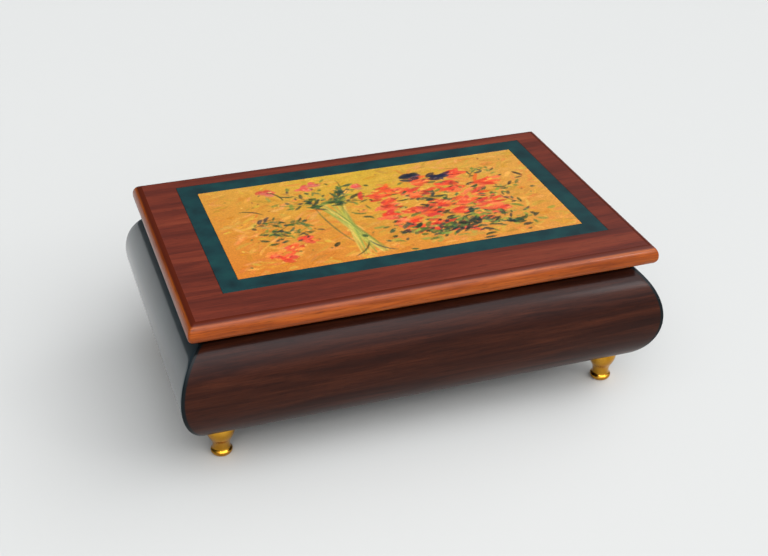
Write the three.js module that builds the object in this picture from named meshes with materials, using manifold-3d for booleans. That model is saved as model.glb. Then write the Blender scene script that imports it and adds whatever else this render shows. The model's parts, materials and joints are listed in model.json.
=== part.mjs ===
// Cylinder music box: a bombe wooden case on four turned brass feet, a hinged lid with a framed
// picture panel, a jewellery compartment, and a spring-driven cylinder movement under a clear cover.
// Millimetres, +Z up. The origin is on the floor under the middle of the case, and the front is -Y.
import * as THREE from "three";
import { mergeVertices } from "three/addons/utils/BufferGeometryUtils.js";
import Module from "manifold-3d";

const wasm = await Module();
wasm.setup();

// ---------------------------------------------------------------------------------------------
// Driving dimensions
// ---------------------------------------------------------------------------------------------

// Case. Each of the four panels bulges: it swells from the underside out to its widest line and
// draws in again to a narrow top edge.
const CASE_LENGTH = 200.8;
const CASE_DEPTH = 128.6;
const FOOT_LIFT = 15.5; // floor to the underside of the case
const BELLY_HEIGHT = 24; // underside to the widest line
const BELLY_TUCK = 20; // how far the belly curve draws in at the underside
const SHOULDER_HEIGHT = 20.9; // widest line to the panel's top edge
const SHOULDER_TUCK = 10; // how far the shoulder curve draws in at the top edge
const WALL_TOP = 8; // panel thickness at its top edge
const MITRE_GAP = 0.15; // glue line at each corner
const BOARD_THICKNESS = 4;
const JOINT_GAP = 0.15; // glue line between flat pieces
const PAST = 1; // how far a cutting shape runs past the face it opens

// Black rim between the panels and the lid
const RIM_HEIGHT = 5.4;
const RIM_SETBACK = 1;

// Lid
const LID_GAP = 0.2; // rim to the closed lid
const LID_THICKNESS = 8;
const LID_OVERHANG_FRONT = 10.1;
const LID_OVERHANG_BACK = 6.1;
const LID_OVERHANG_SIDE = 6;
const NOSE_REACH = 3.8; // flat top's edge to the nose
const NOSE_DROP = 4.4; // flat top down to the nose
const NOSE_UNDERCUT = 3; // radius under the nose
const INLAY_DEPTH = 1;
const INLAY_MARGIN_LEFT = 13.85; // from the edge of the flat top to the painted border
const INLAY_MARGIN_RIGHT = 9.35;
const INLAY_MARGIN_FRONT = 16.34;
const INLAY_MARGIN_BACK = 6.16;
const BORDER_WIDTH_SIDE = 7.6;
const BORDER_WIDTH_FRONT = 8.3;
const INLAY_GAP = 0.15;
const GLUE = 0.05; // under the inlay and over the lid lining
const LID_LINING_THICKNESS = 1;
const LID_LINING_MARGIN = 2.4; // in from the case's inner walls

// Butt hinges
const HINGE_LENGTH = 22;
const HINGE_INSET = 34; // in from the case's inner end walls to the middle of a hinge
const KNUCKLE_RADIUS = 2;
const KNUCKLES = 5;
const KNUCKLE_GAP = 0.3;
const LEAF_THICKNESS = 0.8;
const LEAF_WIDTH_LID = 10;
const LEAF_WIDTH_CASE = 3.6;
const HINGE_PIN_RADIUS = 0.8;
const HINGE_CLEARANCE = 0.3;

// Turned feet
const FOOT_INSET_X = 16.1; // in from the case's widest line
const FOOT_INSET_Y = 22.5;
const FOOT_SHIFT = 1.9; // all four feet stand this far to the right of the case's middle
const FOOT_BASE_RADIUS = 4.6;
const FOOT_BASE_TAPER = 1; // its lower edge draws in by this, over the same height
const FOOT_BASE_HEIGHT = 2;
const FOOT_SOFTENING = 0.4; // of the base's upper edge and the neck's ends
const FOOT_NECK_RADIUS = 3.5;
const FOOT_NECK_HEIGHT = 3.6;
const FOOT_CUP_RADIUS = 6;
const FOOT_FLARE_RISE = 4; // neck to where the flare bends
const FOOT_FLARE_TUCK = 0.6; // its bend, in from the cup's radius
const FOOT_COLLAR = 0.3; // bare shank between the cup and the case
const FOOT_CUP_HEIGHT = 11.6; // floor to the widest ring of the cup
const FOOT_SHANK_RADIUS = 3.9;
const FOOT_SEAT = 2; // depth of the spot face that takes the shank
const FOOT_STUD_RADIUS = 1.4;
const FOOT_STUD_LENGTH = 1.4; // a locating pin; the foot is glued in its seat
const FOOT_CLEARANCE = 0.3;

// Compartments
const MUSIC_ROOM = 63.4; // clear width of the movement's compartment
const PARTITION_THICKNESS = 3;
const PARTITION_DROP = 9.4; // rim down to the top of the partition
const LINING_THICKNESS = 0.8;
const LINING_DROP = 9.4; // rim down to the top of the lining
const ROLLS = 4;
const ROLL_WIDTH = 13.4;
const ROLL_HEIGHT = 20;
const ROLL_GAP = 0.6;
const DIVIDER_THICKNESS = 2;
const DIVIDER_HEIGHT = 22;
const PAD_THICKNESS = 2;
const PAD_GAP = 0.5;
const BATTEN = 5;
const COVER_THICKNESS = 2;
const COVER_HEADROOM = 3.4; // above the fan
const COVER_GAP = 0.4;

// Movement. Its own heights start at the top of the bottom board.
const BEDPLATE_LENGTH = 54;
const BEDPLATE_DEPTH = 40;
const BEDPLATE_THICKNESS = 3;
const FIT = 0.2; // between a shaft and what is fixed on it
const RUN = 0.3; // between a shaft and its bearing
const BARREL_RADIUS = 11.2;
const BARREL_GAP = 0.5; // to the cylinder's left bearing post
const BARREL_WALL = 0.9;
const BARREL_FLOOR = 6.4; // height of the barrel's underside
const BARREL_TOP = 13.2; // height of its top plate, the root of the crown teeth
const CROWN_TEETH = 34;
const CROWN_MODULE = 0.6;
const CROWN_FACE = 2; // radial length of a crown tooth
const PINION_TEETH = 12;
const PINION_FACE = 1.4;
const CROWN_DEDENDUM = 1.35; // tooth heights are in modules
const CROWN_ADDENDUM = 0.75;
const CROWN_ROOT_WIDTH = 0.54; // tooth widths are shares of the pitch
const CROWN_TIP_WIDTH = 0.2;
const CROWN_SINK = 0.3; // how deep a crown tooth is rooted in the drum
const PINION_DEDENDUM = 1.15;
const PINION_ADDENDUM = 0.8;
const SPUR_DEDENDUM = 1.1;
const SPUR_ADDENDUM = 0.75;
const SPRING_TURNS = 5;
const SPRING_STRIP = 0.5;
const SPRING_ROOM = 0.6; // between the mainspring and the drum's wall
const SPRING_EYE = 0.8; // between the arbor and the innermost turn
const WINDING_ARBOR_RADIUS = 2;
const ARBOR_FLANGE = 1;
const ARBOR_FLANGE_THICKNESS = 0.8;
const CLUTCH_WIRE = 0.35;
const CLUTCH_PITCH = 0.72;
const CLUTCH_TURNS = 3;
const CLUTCH_LIFT = 0.6; // bedplate to the first turn of the clutch spring
const CYLINDER_START = -1.8; // left end of the pinned cylinder, from the middle of the bedplate
const CYLINDER_RADIUS = 6.5;
const TRACKS = 18;
const TRACK_PITCH = 1.1;
const TRACK_MARGIN = 0.11; // bare cylinder beyond the first and the last track
const PIN_HEIGHT = 0.6;
const PIN_RADIUS = 0.24;
const PINS_PER_TRACK = 3;
const PIN_ROOT = 0.4; // how deep a pin is set
const COMB_TIP_GAP = 0.2;
const COMB_THICKNESS = 0.8;
const COMB_SLOT = 0.3;
const COMB_BASE_DEPTH = 5;
const COMB_BASE_THICKNESS = 1.8;
const LONGEST_TINE = 8.2;
const SHORTEST_TINE = 5;
const COMB_SCREW_INSET = 4;
const COMB_SCREW_LENGTH = 5;
const CYLINDER_ARBOR_RADIUS = 1.2;
const POST_THICKNESS = 2;
const POST_WIDTH = 8;
const POST_HEAD = 2.4; // post above the arbor's axis
const POST_GAP = 0.5; // between a post and what turns beside it
const ARBOR_END = 0.6; // arbor beyond its last wheel or bearing
const CAP_THICKNESS = 1.4;
const GREAT_WHEEL_TEETH = 32;
const GOVERNOR_PINION_TEETH = 8;
const SPUR_MODULE = 0.5;
const SPUR_FACE = 1.5;
const GOVERNOR_DROP = 2; // governor arbor below the cylinder's axis
const GREAT_WHEEL_GAP = 0.8; // between the cylinder and the great wheel
const WHEEL_GAP = 0.4; // between a wheel and the bracket
const WORM_WHEEL_TEETH = 30;
const WORM_WHEEL_RADIUS = 4.8;
const WORM_WHEEL_FACE = 1.5;
const WORM_RADIUS = 1.5; // at the pitch line
const WORM_TURNS = 6;
const WORM_CORE = 0.4; // pitch line down to the worm's core
const WORM_RIDGE = 0.38; // half the thickness of its thread
const WORM_RIDGE_SINK = 0.3; // pitch line down to the thread's middle
const SMALL_ARBOR_RADIUS = 0.6;
const BRACKET_THICKNESS = 1.2;
const BRACKET_POST_WIDTH = 3.6;
const BRACKET_BACK = 2.2; // worm's axis to the back of the bracket
const BRACKET_POST_HEAD = 2; // inner post above the governor arbor
const STEP_DROP = 2.4; // worm wheel down to the step that carries the worm shaft
const SHAFT_SOCKET = 1.6;
const WORM_ROOM = 2.05; // worm's axis to the outer post
const ARM_GAP = 0.8;
const FAN_GAP = 0.7;
const FAN_RADIUS = 6.5;
const FAN_HEIGHT = 4;
const FAN_BLADE = 0.6;
const FAN_HUB_WALL = 0.7;

// Start and stop: a rod that the closed lid holds down beside the fan
const STOP_ROD_RADIUS = 1.2;
const STOP_ROD_REACH = 0.4; // rod's end below the lid lining
const BRAKE_THICKNESS = 1.6;
const BRAKE_GAP = 0.3;
const STOP_ARM = 3.2;
const STOP_ARM_THICKNESS = 1.6;
const BRAKE_WIDTH = 3;
const BRAKE_HEIGHT = 2.4;
const GUIDE_WIDTH = 8;
const GUIDE_HEIGHT = 12;
const GUIDE_LUG = 3; // thickness of the bored lug, and its reach before the rod
const GUIDE_BACK = 1.2;
const LIFT_SPRING_THICKNESS = 0.4;
const LIFT_SPRING_WIDTH = 4;
const LIFT_SPRING_FOOT = [-14, -9]; // its flat foot, from the rod's axis
const LIFT_SPRING_TIP = [-5, 2]; // its raised end

// Winding key and screws
const KEY_WING_RADIUS = 4.6;
const KEY_WING_OFFSET = 6.2;
const KEY_THICKNESS = 1.4;
const KEY_HUB_RADIUS = 3.2;
const KEY_DROP = 1.3; // board's underside to the key's hub
const KEY_HEIGHT = 9.2;
const KEY_SOCKET = 5; // how deep the arbor goes into the key
const KEY_EYE_SHARE = 0.42; // hole in a wing, as a share of its radius
const BUSHING_WALL = 1.1;
const BUSHING_FLANGE = 1.8;
const BUSHING_FLANGE_THICKNESS = 0.6;
const BUSHING_GAP = 0.1;
const SCREW_RADIUS = 1.2;
const SCREW_HEAD_RADIUS = 2.6;
const SCREW_HEAD_HEIGHT = 1.2;
const SCREW_SLOT = 0.5;
const CHEESE_HEAD = 0.8; // cheese head as a share of the clearance head radius
const MOVEMENT_SCREW_INSET = 4.5;
const MOVEMENT_SCREW_SHORT = 0.4; // screw's end below the bedplate's top

// ---------------------------------------------------------------------------------------------
// Places that several pieces share
// ---------------------------------------------------------------------------------------------

const halfLength = CASE_LENGTH / 2;
const halfDepth = CASE_DEPTH / 2;
const wallWidest = SHOULDER_TUCK + WALL_TOP;
const innerX = halfLength - wallWidest;
const innerY = halfDepth - wallWidest;
const widestZ = FOOT_LIFT + BELLY_HEIGHT;
const panelTopZ = widestZ + SHOULDER_HEIGHT;
const floorZ = FOOT_LIFT + BOARD_THICKNESS;
const rimTopZ = panelTopZ + RIM_HEIGHT;
const rimX = innerX + WALL_TOP - RIM_SETBACK;
const rimY = innerY + WALL_TOP - RIM_SETBACK;
const lidZ = rimTopZ + LID_GAP;
const lidTopZ = lidZ + LID_THICKNESS;
const lidX = rimX + LID_OVERHANG_SIDE;
const lidFrontY = -(rimY + LID_OVERHANG_FRONT);
const lidBackY = rimY + LID_OVERHANG_BACK;
const hingeY = rimY - LEAF_THICKNESS + KNUCKLE_RADIUS;
const hingeZ = lidZ + LEAF_THICKNESS - KNUCKLE_RADIUS;
const partitionX = innerX - MUSIC_ROOM - PARTITION_THICKNESS;
const moveX = innerX - MUSIC_ROOM / 2;
const liningFloorZ = floorZ + LINING_THICKNESS + JOINT_GAP;

// Movement places, in its own frame
const crownRadius = (CROWN_TEETH * CROWN_MODULE) / 2;
const pinionRadius = (PINION_TEETH * CROWN_MODULE) / 2;
const crownPitchZ = BARREL_TOP + CROWN_DEDENDUM * CROWN_MODULE;
const cylinderZ = crownPitchZ + pinionRadius;
const leftPost = [CYLINDER_START - POST_GAP - POST_THICKNESS, CYLINDER_START - POST_GAP];
const barrelX = leftPost[0] - BARREL_GAP - BARREL_RADIUS;
const pinionX = barrelX + crownRadius;
const cylinderEnd = CYLINDER_START + TRACKS * TRACK_PITCH + 2 * TRACK_MARGIN;
const pinCircle = CYLINDER_RADIUS + PIN_HEIGHT;
const greatWheelX = cylinderEnd + GREAT_WHEEL_GAP;
const greatWheelRadius = (GREAT_WHEEL_TEETH * SPUR_MODULE) / 2;
const governorPinionRadius = (GOVERNOR_PINION_TEETH * SPUR_MODULE) / 2;
const governorY = Math.sqrt((greatWheelRadius + governorPinionRadius) ** 2 - GOVERNOR_DROP ** 2);
const governorZ = cylinderZ - GOVERNOR_DROP;
const innerPostX = greatWheelX + SPUR_FACE + WHEEL_GAP;
const wormWheelX = innerPostX + BRACKET_THICKNESS + WHEEL_GAP;
const wormX = wormWheelX + WORM_WHEEL_FACE / 2;
const outerPostX = wormX + WORM_ROOM;
const wormY = governorY + WORM_WHEEL_RADIUS + WORM_RADIUS;
const wormPitch = (2 * Math.PI * WORM_WHEEL_RADIUS) / WORM_WHEEL_TEETH;
const armZ = governorZ + WORM_WHEEL_RADIUS + ARM_GAP;
const fanZ = armZ + BRACKET_THICKNESS + FAN_GAP;
const brakeY = wormY + FAN_RADIUS + BRAKE_GAP;
const rodY = brakeY + BRAKE_THICKNESS + STOP_ARM;
const coverZ = floorZ + fanZ + FAN_HEIGHT + COVER_HEADROOM;
const rodTopZ = lidZ - LID_LINING_THICKNESS - STOP_ROD_REACH;

// ---------------------------------------------------------------------------------------------
// Finishes
// ---------------------------------------------------------------------------------------------

const FINISHES = {
  walnut: { color: 0x4a2a20, roughness: 0.35, metalness: 0 },
  endVeneer: { color: 0x10181a, roughness: 0.2, metalness: 0 },
  board: { color: 0x3a2a22, roughness: 0.7, metalness: 0 },
  blackPaint: { color: 0x0c0b0a, roughness: 0.4, metalness: 0 },
  lidVeneer: { color: 0x74402f, roughness: 0.3, metalness: 0 },
  teal: { color: 0x1a494c, roughness: 0.3, metalness: 0 },
  picture: { color: 0xdb9a40, roughness: 0.3, metalness: 0 },
  brass: { color: 0xc99a3c, roughness: 0.2, metalness: 1 },
  steel: { color: 0xb8bcc0, roughness: 0.3, metalness: 1 },
  velvet: { color: 0x5a1f26, roughness: 0.95, metalness: 0 },
  clear: { color: 0xe8f0f2, roughness: 0.05, metalness: 0, transparent: true, opacity: 0.35 },
  plastic: { color: 0xe4e0d4, roughness: 0.5, metalness: 0 },
};

const musicBox = new THREE.Group();
const movement = new THREE.Group();
movement.position.set(moveX, 0, floorZ);
musicBox.add(movement);

function add(name, geometry, finish, parent = musicBox) {
  const mesh = new THREE.Mesh(geometry, new THREE.MeshStandardMaterial(FINISHES[finish]));
  mesh.name = name;
  parent.add(mesh);
}

// ---------------------------------------------------------------------------------------------
// Solid modelling helpers
// ---------------------------------------------------------------------------------------------

function toSolid(geometry) {
  const bare = geometry.clone();
  bare.deleteAttribute("normal");
  bare.deleteAttribute("uv");
  const merged = mergeVertices(bare, 1e-4);
  const mesh = new wasm.Mesh({
    numProp: 3,
    vertProperties: merged.attributes.position.array,
    triVerts: new Uint32Array(merged.index.array),
  });
  return new wasm.Manifold(mesh);
}

function toGeometry(solid) {
  const mesh = solid.getMesh();
  const geometry = new THREE.BufferGeometry();
  geometry.setAttribute("position", new THREE.BufferAttribute(mesh.vertProperties, 3));
  geometry.setIndex(new THREE.BufferAttribute(mesh.triVerts, 1));
  geometry.computeVertexNormals();
  return geometry;
}

function join(first, ...others) {
  return toGeometry(others.reduce((sum, other) => sum.add(toSolid(other)), toSolid(first)));
}

function cut(first, ...tools) {
  return toGeometry(tools.reduce((rest, tool) => rest.subtract(toSolid(tool)), toSolid(first)));
}

function common(first, second) {
  return toGeometry(toSolid(first).intersect(toSolid(second)));
}

// A rectangular block between two values on each axis.
function block([x0, x1], [y0, y1], [z0, z1]) {
  const geometry = new THREE.BoxGeometry(x1 - x0, y1 - y0, z1 - z0);
  return geometry.translate((x0 + x1) / 2, (y0 + y1) / 2, (z0 + z1) / 2);
}

// The span of a size centred on a value.
function around(middle, size) {
  return [middle - size / 2, middle + size / 2];
}

// A round bar along Z between two heights.
function barZ(radius, [z0, z1], x = 0, y = 0, sides = 16) {
  const geometry = new THREE.CylinderGeometry(radius, radius, z1 - z0, sides);
  return geometry.rotateX(Math.PI / 2).translate(x, y, (z0 + z1) / 2);
}

// A round bar along X between two values.
function barX(radius, [x0, x1], y = 0, z = 0, sides = 16) {
  const geometry = new THREE.CylinderGeometry(radius, radius, x1 - x0, sides);
  return geometry.rotateZ(Math.PI / 2).translate((x0 + x1) / 2, y, z);
}

// A piece turned about Z from its outline of [radius, height] points, listed upwards.
function turned(points, x = 0, y = 0, sides = 20) {
  const outline = points.map(([r, z]) => new THREE.Vector2(r, z));
  return new THREE.LatheGeometry(outline, sides).rotateX(Math.PI / 2).translate(x, y, 0);
}

// A flat outline in X and Y, raised from one height to another.
function raised(outline, [z0, z1], curveSegments = 6) {
  const points = () => outline.map(([x, y]) => new THREE.Vector2(x, y));
  const shape = outline instanceof THREE.Shape ? outline : new THREE.Shape(points());
  const settings = { depth: z1 - z0, bevelEnabled: false, curveSegments };
  return new THREE.ExtrudeGeometry(shape, settings).translate(0, 0, z0);
}

// Turns a geometry's X, Y and Z onto Y, Z and X, so that what was raised along Z runs along X.
function alongX(geometry) {
  const axes = [new THREE.Vector3(0, 1, 0), new THREE.Vector3(0, 0, 1), new THREE.Vector3(1, 0, 0)];
  return geometry.applyMatrix4(new THREE.Matrix4().makeBasis(...axes));
}

// Turns a geometry's X, Y and Z onto X, Z and -Y, so that what was raised along Z runs along -Y.
function alongY(geometry) {
  return geometry.rotateX(Math.PI / 2);
}

// A toothed wheel raised along Z. A tooth is centred on the angle "phase". Widths are shares of the
// tooth pitch. "lead" turns the far face, which slants the teeth.
function gear({ teeth, tip, root, tipWidth, rootWidth, bore, face, phase, lead = 0 }) {
  const step = (2 * Math.PI) / teeth;
  const corners = [];
  for (let tooth = 0; tooth < teeth; tooth += 1) {
    const middle = phase + tooth * step;
    corners.push(polar(root, middle - (step * rootWidth) / 2));
    corners.push(polar(tip, middle - (step * tipWidth) / 2));
    corners.push(polar(tip, middle + (step * tipWidth) / 2));
    corners.push(polar(root, middle + (step * rootWidth) / 2));
  }
  const shape = new THREE.Shape(corners);
  shape.holes.push(new THREE.Path().absarc(0, 0, bore, 0, 2 * Math.PI, true));
  const geometry = raised(shape, [0, face]);
  const places = geometry.attributes.position;
  const point = new THREE.Vector3();
  const axis = new THREE.Vector3(0, 0, 1);
  for (let i = 0; i < places.count; i += 1) {
    point.fromBufferAttribute(places, i).applyAxisAngle(axis, (lead * places.getZ(i)) / face);
    places.setXYZ(i, point.x, point.y, point.z);
  }
  return geometry;
}

function polar(radius, angle) {
  return new THREE.Vector2(radius * Math.cos(angle), radius * Math.sin(angle));
}

// ---------------------------------------------------------------------------------------------
// Feet, and the seats that take them
// ---------------------------------------------------------------------------------------------

const feet = [
  ["foot_front_left", -1, -1],
  ["foot_front_right", 1, -1],
  ["foot_rear_left", -1, 1],
  ["foot_rear_right", 1, 1],
];
const footX = halfLength - FOOT_INSET_X;
const footY = halfDepth - FOOT_INSET_Y;
const seatZ = FOOT_LIFT + FOOT_SEAT;
const footSeats = [];

function footOutline() {
  const shankFoot = FOOT_LIFT - FOOT_COLLAR;
  const outline = new THREE.Path();
  outline.moveTo(0, 0);
  outline.lineTo(FOOT_BASE_RADIUS - FOOT_BASE_TAPER, 0);
  outline.lineTo(FOOT_BASE_RADIUS, FOOT_BASE_TAPER);
  outline.lineTo(FOOT_BASE_RADIUS, FOOT_BASE_HEIGHT - FOOT_SOFTENING);
  outline.lineTo(FOOT_NECK_RADIUS, FOOT_NECK_HEIGHT - FOOT_SOFTENING);
  outline.lineTo(FOOT_NECK_RADIUS, FOOT_NECK_HEIGHT + FOOT_SOFTENING / 2);
  const bendZ = FOOT_NECK_HEIGHT + FOOT_FLARE_RISE;
  const bendRadius = FOOT_CUP_RADIUS - FOOT_FLARE_TUCK;
  outline.bezierCurveTo(FOOT_NECK_RADIUS, bendZ, bendRadius, bendZ, FOOT_CUP_RADIUS, FOOT_CUP_HEIGHT);
  outline.quadraticCurveTo(FOOT_CUP_RADIUS, shankFoot - 1, FOOT_SHANK_RADIUS, shankFoot);
  outline.lineTo(FOOT_SHANK_RADIUS, seatZ - FOOT_CLEARANCE);
  outline.lineTo(FOOT_STUD_RADIUS, seatZ - FOOT_CLEARANCE);
  outline.lineTo(FOOT_STUD_RADIUS, seatZ + FOOT_STUD_LENGTH);
  outline.lineTo(0, seatZ + FOOT_STUD_LENGTH);
  return outline.getPoints(3).map((p) => [p.x, p.y]);
}

for (const [name, sideX, sideY] of feet) {
  const x = sideX * footX + FOOT_SHIFT;
  const y = sideY * footY;
  add(name, turned(footOutline(), x, y, 16), "brass");
  const seat = barZ(FOOT_SHANK_RADIUS + FOOT_CLEARANCE, [0, seatZ], x, y, 16);
  const studRadius = FOOT_STUD_RADIUS + FOOT_CLEARANCE;
  const studSpan = [seatZ - PAST, seatZ + FOOT_STUD_LENGTH + FOOT_CLEARANCE];
  const studHole = barZ(studRadius, studSpan, x, y, 12);
  footSeats.push(seat, studHole);
}

// ---------------------------------------------------------------------------------------------
// Case panels, bottom board and rim
// ---------------------------------------------------------------------------------------------

// The panel's section: X is the distance out from its flat inner face, Y the height.
function panelSection() {
  const bellyCentre = wallWidest - BELLY_TUCK;
  const bellyStart = -Math.acos(-bellyCentre / BELLY_TUCK);
  const shoulderRadius = (SHOULDER_TUCK ** 2 + SHOULDER_HEIGHT ** 2) / (2 * SHOULDER_TUCK);
  const shoulderEnd = Math.asin(SHOULDER_HEIGHT / shoulderRadius);
  const section = new THREE.Shape();
  section.moveTo(0, panelTopZ);
  section.lineTo(0, widestZ + BELLY_HEIGHT * Math.sin(bellyStart));
  section.absellipse(bellyCentre, widestZ, BELLY_TUCK, BELLY_HEIGHT, bellyStart, 0, false, 0);
  section.absarc(wallWidest - shoulderRadius, widestZ, shoulderRadius, 0, shoulderEnd, false);
  return section;
}

// One side of the case, with 45 degree mitres at both ends, turned to its place about Z.
function mitredPanel(along, across, turn) {
  const settings = { depth: 1, bevelEnabled: false, curveSegments: 4 };
  const panel = new THREE.ExtrudeGeometry(panelSection(), settings);
  const places = panel.attributes.position;
  for (let i = 0; i < places.count; i += 1) {
    const out = places.getX(i);
    const end = places.getZ(i) > 0 ? -1 : 1;
    places.setXYZ(i, end * (along + out - MITRE_GAP), -(across + out), places.getY(i));
  }
  return cut(panel.rotateZ(turn), ...footSeats);
}

add("front_panel", mitredPanel(innerX, innerY, 0), "walnut");
add("right_end_panel", mitredPanel(innerY, innerX, Math.PI / 2), "endVeneer");
add("rear_panel", mitredPanel(innerX, innerY, Math.PI), "walnut");
add("left_end_panel", mitredPanel(innerY, innerX, -Math.PI / 2), "endVeneer");

// Places of the winding arbor and the movement's screws, seen from above
const arborX = moveX + barrelX;
const bushingRadius = WINDING_ARBOR_RADIUS + RUN + BUSHING_WALL;
const screwPlaces = [
  [MOVEMENT_SCREW_INSET - BEDPLATE_LENGTH / 2, MOVEMENT_SCREW_INSET - BEDPLATE_DEPTH / 2],
  [BEDPLATE_LENGTH / 2 - MOVEMENT_SCREW_INSET, MOVEMENT_SCREW_INSET - BEDPLATE_DEPTH / 2],
  [0, BEDPLATE_DEPTH / 2 - MOVEMENT_SCREW_INSET],
];

function bottomBoard() {
  const spanX = [JOINT_GAP - innerX, innerX - JOINT_GAP];
  const spanY = [JOINT_GAP - innerY, innerY - JOINT_GAP];
  const tools = [barZ(bushingRadius + FIT, [0, floorZ + PAST], arborX, 0)];
  for (const [x, y] of screwPlaces) {
    const headRoom = [0, FOOT_LIFT + SCREW_HEAD_HEIGHT + FIT];
    tools.push(barZ(SCREW_RADIUS + FIT, [0, floorZ + PAST], moveX + x, y, 12));
    tools.push(barZ(SCREW_HEAD_RADIUS + FIT, headRoom, moveX + x, y));
  }
  return cut(block(spanX, spanY, [FOOT_LIFT, floorZ]), ...footSeats, ...tools);
}

add("bottom_board", bottomBoard(), "board");

const hingePlaces = [
  ["left", -innerX + HINGE_INSET],
  ["right", innerX - HINGE_INSET],
];

// The room that a hinge takes in the rim and in the lid.
function hingeRoom(x, spanY, spanZ) {
  return block(around(x, HINGE_LENGTH + 2 * HINGE_CLEARANCE), spanY, spanZ);
}

function rimFrame() {
  const spanZ = [panelTopZ + JOINT_GAP, rimTopZ];
  const outer = block([-rimX, rimX], [-rimY, rimY], spanZ);
  const opening = block([-innerX, innerX], [-innerY, innerY], [0, lidTopZ]);
  const mortiseY = [hingeY - KNUCKLE_RADIUS - HINGE_CLEARANCE, rimY + PAST];
  const mortiseZ = [hingeZ - LEAF_WIDTH_CASE - HINGE_CLEARANCE, rimTopZ + PAST];
  const mortises = hingePlaces.map(([, x]) => hingeRoom(x, mortiseY, mortiseZ));
  return cut(outer, opening, ...mortises);
}

add("rim_frame", rimFrame(), "blackPaint");

// ---------------------------------------------------------------------------------------------
// Lid
// ---------------------------------------------------------------------------------------------

// The lid's section across one direction, from nose to nose, with the heights as Y.
function lidSection(low, high) {
  const noseZ = lidTopZ - NOSE_DROP;
  const underZ = lidZ + NOSE_UNDERCUT;
  const section = new THREE.Shape();
  section.moveTo(low + NOSE_UNDERCUT, lidZ);
  section.lineTo(high - NOSE_UNDERCUT, lidZ);
  section.absarc(high - NOSE_UNDERCUT, underZ, NOSE_UNDERCUT, -Math.PI / 2, 0, false);
  section.absellipse(high - NOSE_REACH, noseZ, NOSE_REACH, NOSE_DROP, 0, Math.PI / 2, false, 0);
  section.absellipse(low + NOSE_REACH, noseZ, NOSE_REACH, NOSE_DROP, Math.PI / 2, Math.PI, false, 0);
  section.absarc(low + NOSE_UNDERCUT, underZ, NOSE_UNDERCUT, Math.PI, Math.PI * 1.5, false);
  return section;
}

const inlayX = [NOSE_REACH - lidX + INLAY_MARGIN_LEFT, lidX - NOSE_REACH - INLAY_MARGIN_RIGHT];
const inlayY = [lidFrontY + NOSE_REACH + INLAY_MARGIN_FRONT, lidBackY - NOSE_REACH - INLAY_MARGIN_BACK];
const pictureX = [inlayX[0] + BORDER_WIDTH_SIDE, inlayX[1] - BORDER_WIDTH_SIDE];
const pictureY = [inlayY[0] + BORDER_WIDTH_FRONT, inlayY[1] - BORDER_WIDTH_FRONT];

function widened([low, high], by) {
  return [low - by, high + by];
}

function lidBoard() {
  const reach = 2 * (lidX + lidBackY - lidFrontY);
  const lengthways = alongX(raised(lidSection(lidFrontY, lidBackY), [-reach, reach], 3));
  const across = alongY(raised(lidSection(-lidX, lidX), [-reach, reach], 3));
  const pocketZ = [lidTopZ - INLAY_DEPTH, lidTopZ + PAST];
  const pocket = block(widened(inlayX, INLAY_GAP), widened(inlayY, INLAY_GAP), pocketZ);
  const mortiseY = [hingeY - LEAF_WIDTH_LID - HINGE_CLEARANCE, hingeY + KNUCKLE_RADIUS + HINGE_CLEARANCE];
  const mortiseZ = [lidZ - PAST, lidZ + LEAF_THICKNESS + HINGE_CLEARANCE];
  const mortises = hingePlaces.map(([, x]) => hingeRoom(x, mortiseY, mortiseZ));
  return cut(common(lengthways, across), pocket, ...mortises);
}

add("lid_board", lidBoard(), "lidVeneer");

const inlayZ = [lidTopZ - INLAY_DEPTH + GLUE, lidTopZ];
const borderHole = block(pictureX, pictureY, [lidZ, lidTopZ + PAST]);
add("inlay_border", cut(block(inlayX, inlayY, inlayZ), borderHole), "teal");
const picture = block(widened(pictureX, -INLAY_GAP), widened(pictureY, -INLAY_GAP), inlayZ);
add("picture_panel", picture, "picture");

const liningX = innerX - LID_LINING_MARGIN;
const liningY = innerY - LID_LINING_MARGIN;
const lidLiningZ = [lidZ - LID_LINING_THICKNESS, lidZ - GLUE];
add("lid_lining", block([-liningX, liningX], [-liningY, liningY], lidLiningZ), "velvet");

// ---------------------------------------------------------------------------------------------
// Hinges: two leaves with interleaved knuckles on a pin
// ---------------------------------------------------------------------------------------------

const knuckleLength = HINGE_LENGTH / KNUCKLES;

// The span along X of one knuckle, made longer or shorter by a clearance.
function knuckleSpan(x, index, extra) {
  const start = x - HINGE_LENGTH / 2 + index * knuckleLength;
  return [start - extra, start + knuckleLength + extra];
}

// A leaf: its plate joined to every second knuckle, cleared for the other leaf's knuckles.
function hingeLeaf(x, plate, firstKnuckle) {
  let leaf = plate;
  for (let i = firstKnuckle; i < KNUCKLES; i += 2) {
    leaf = join(leaf, barX(KNUCKLE_RADIUS, knuckleSpan(x, i, -KNUCKLE_GAP / 2), hingeY, hingeZ));
  }
  const roomRadius = KNUCKLE_RADIUS + HINGE_CLEARANCE;
  for (let i = 1 - firstKnuckle; i < KNUCKLES; i += 2) {
    leaf = cut(leaf, barX(roomRadius, knuckleSpan(x, i, KNUCKLE_GAP / 2), hingeY, hingeZ));
  }
  const pinHole = barX(HINGE_PIN_RADIUS + FIT, around(x, 2 * HINGE_LENGTH), hingeY, hingeZ, 12);
  return cut(leaf, pinHole);
}

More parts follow.
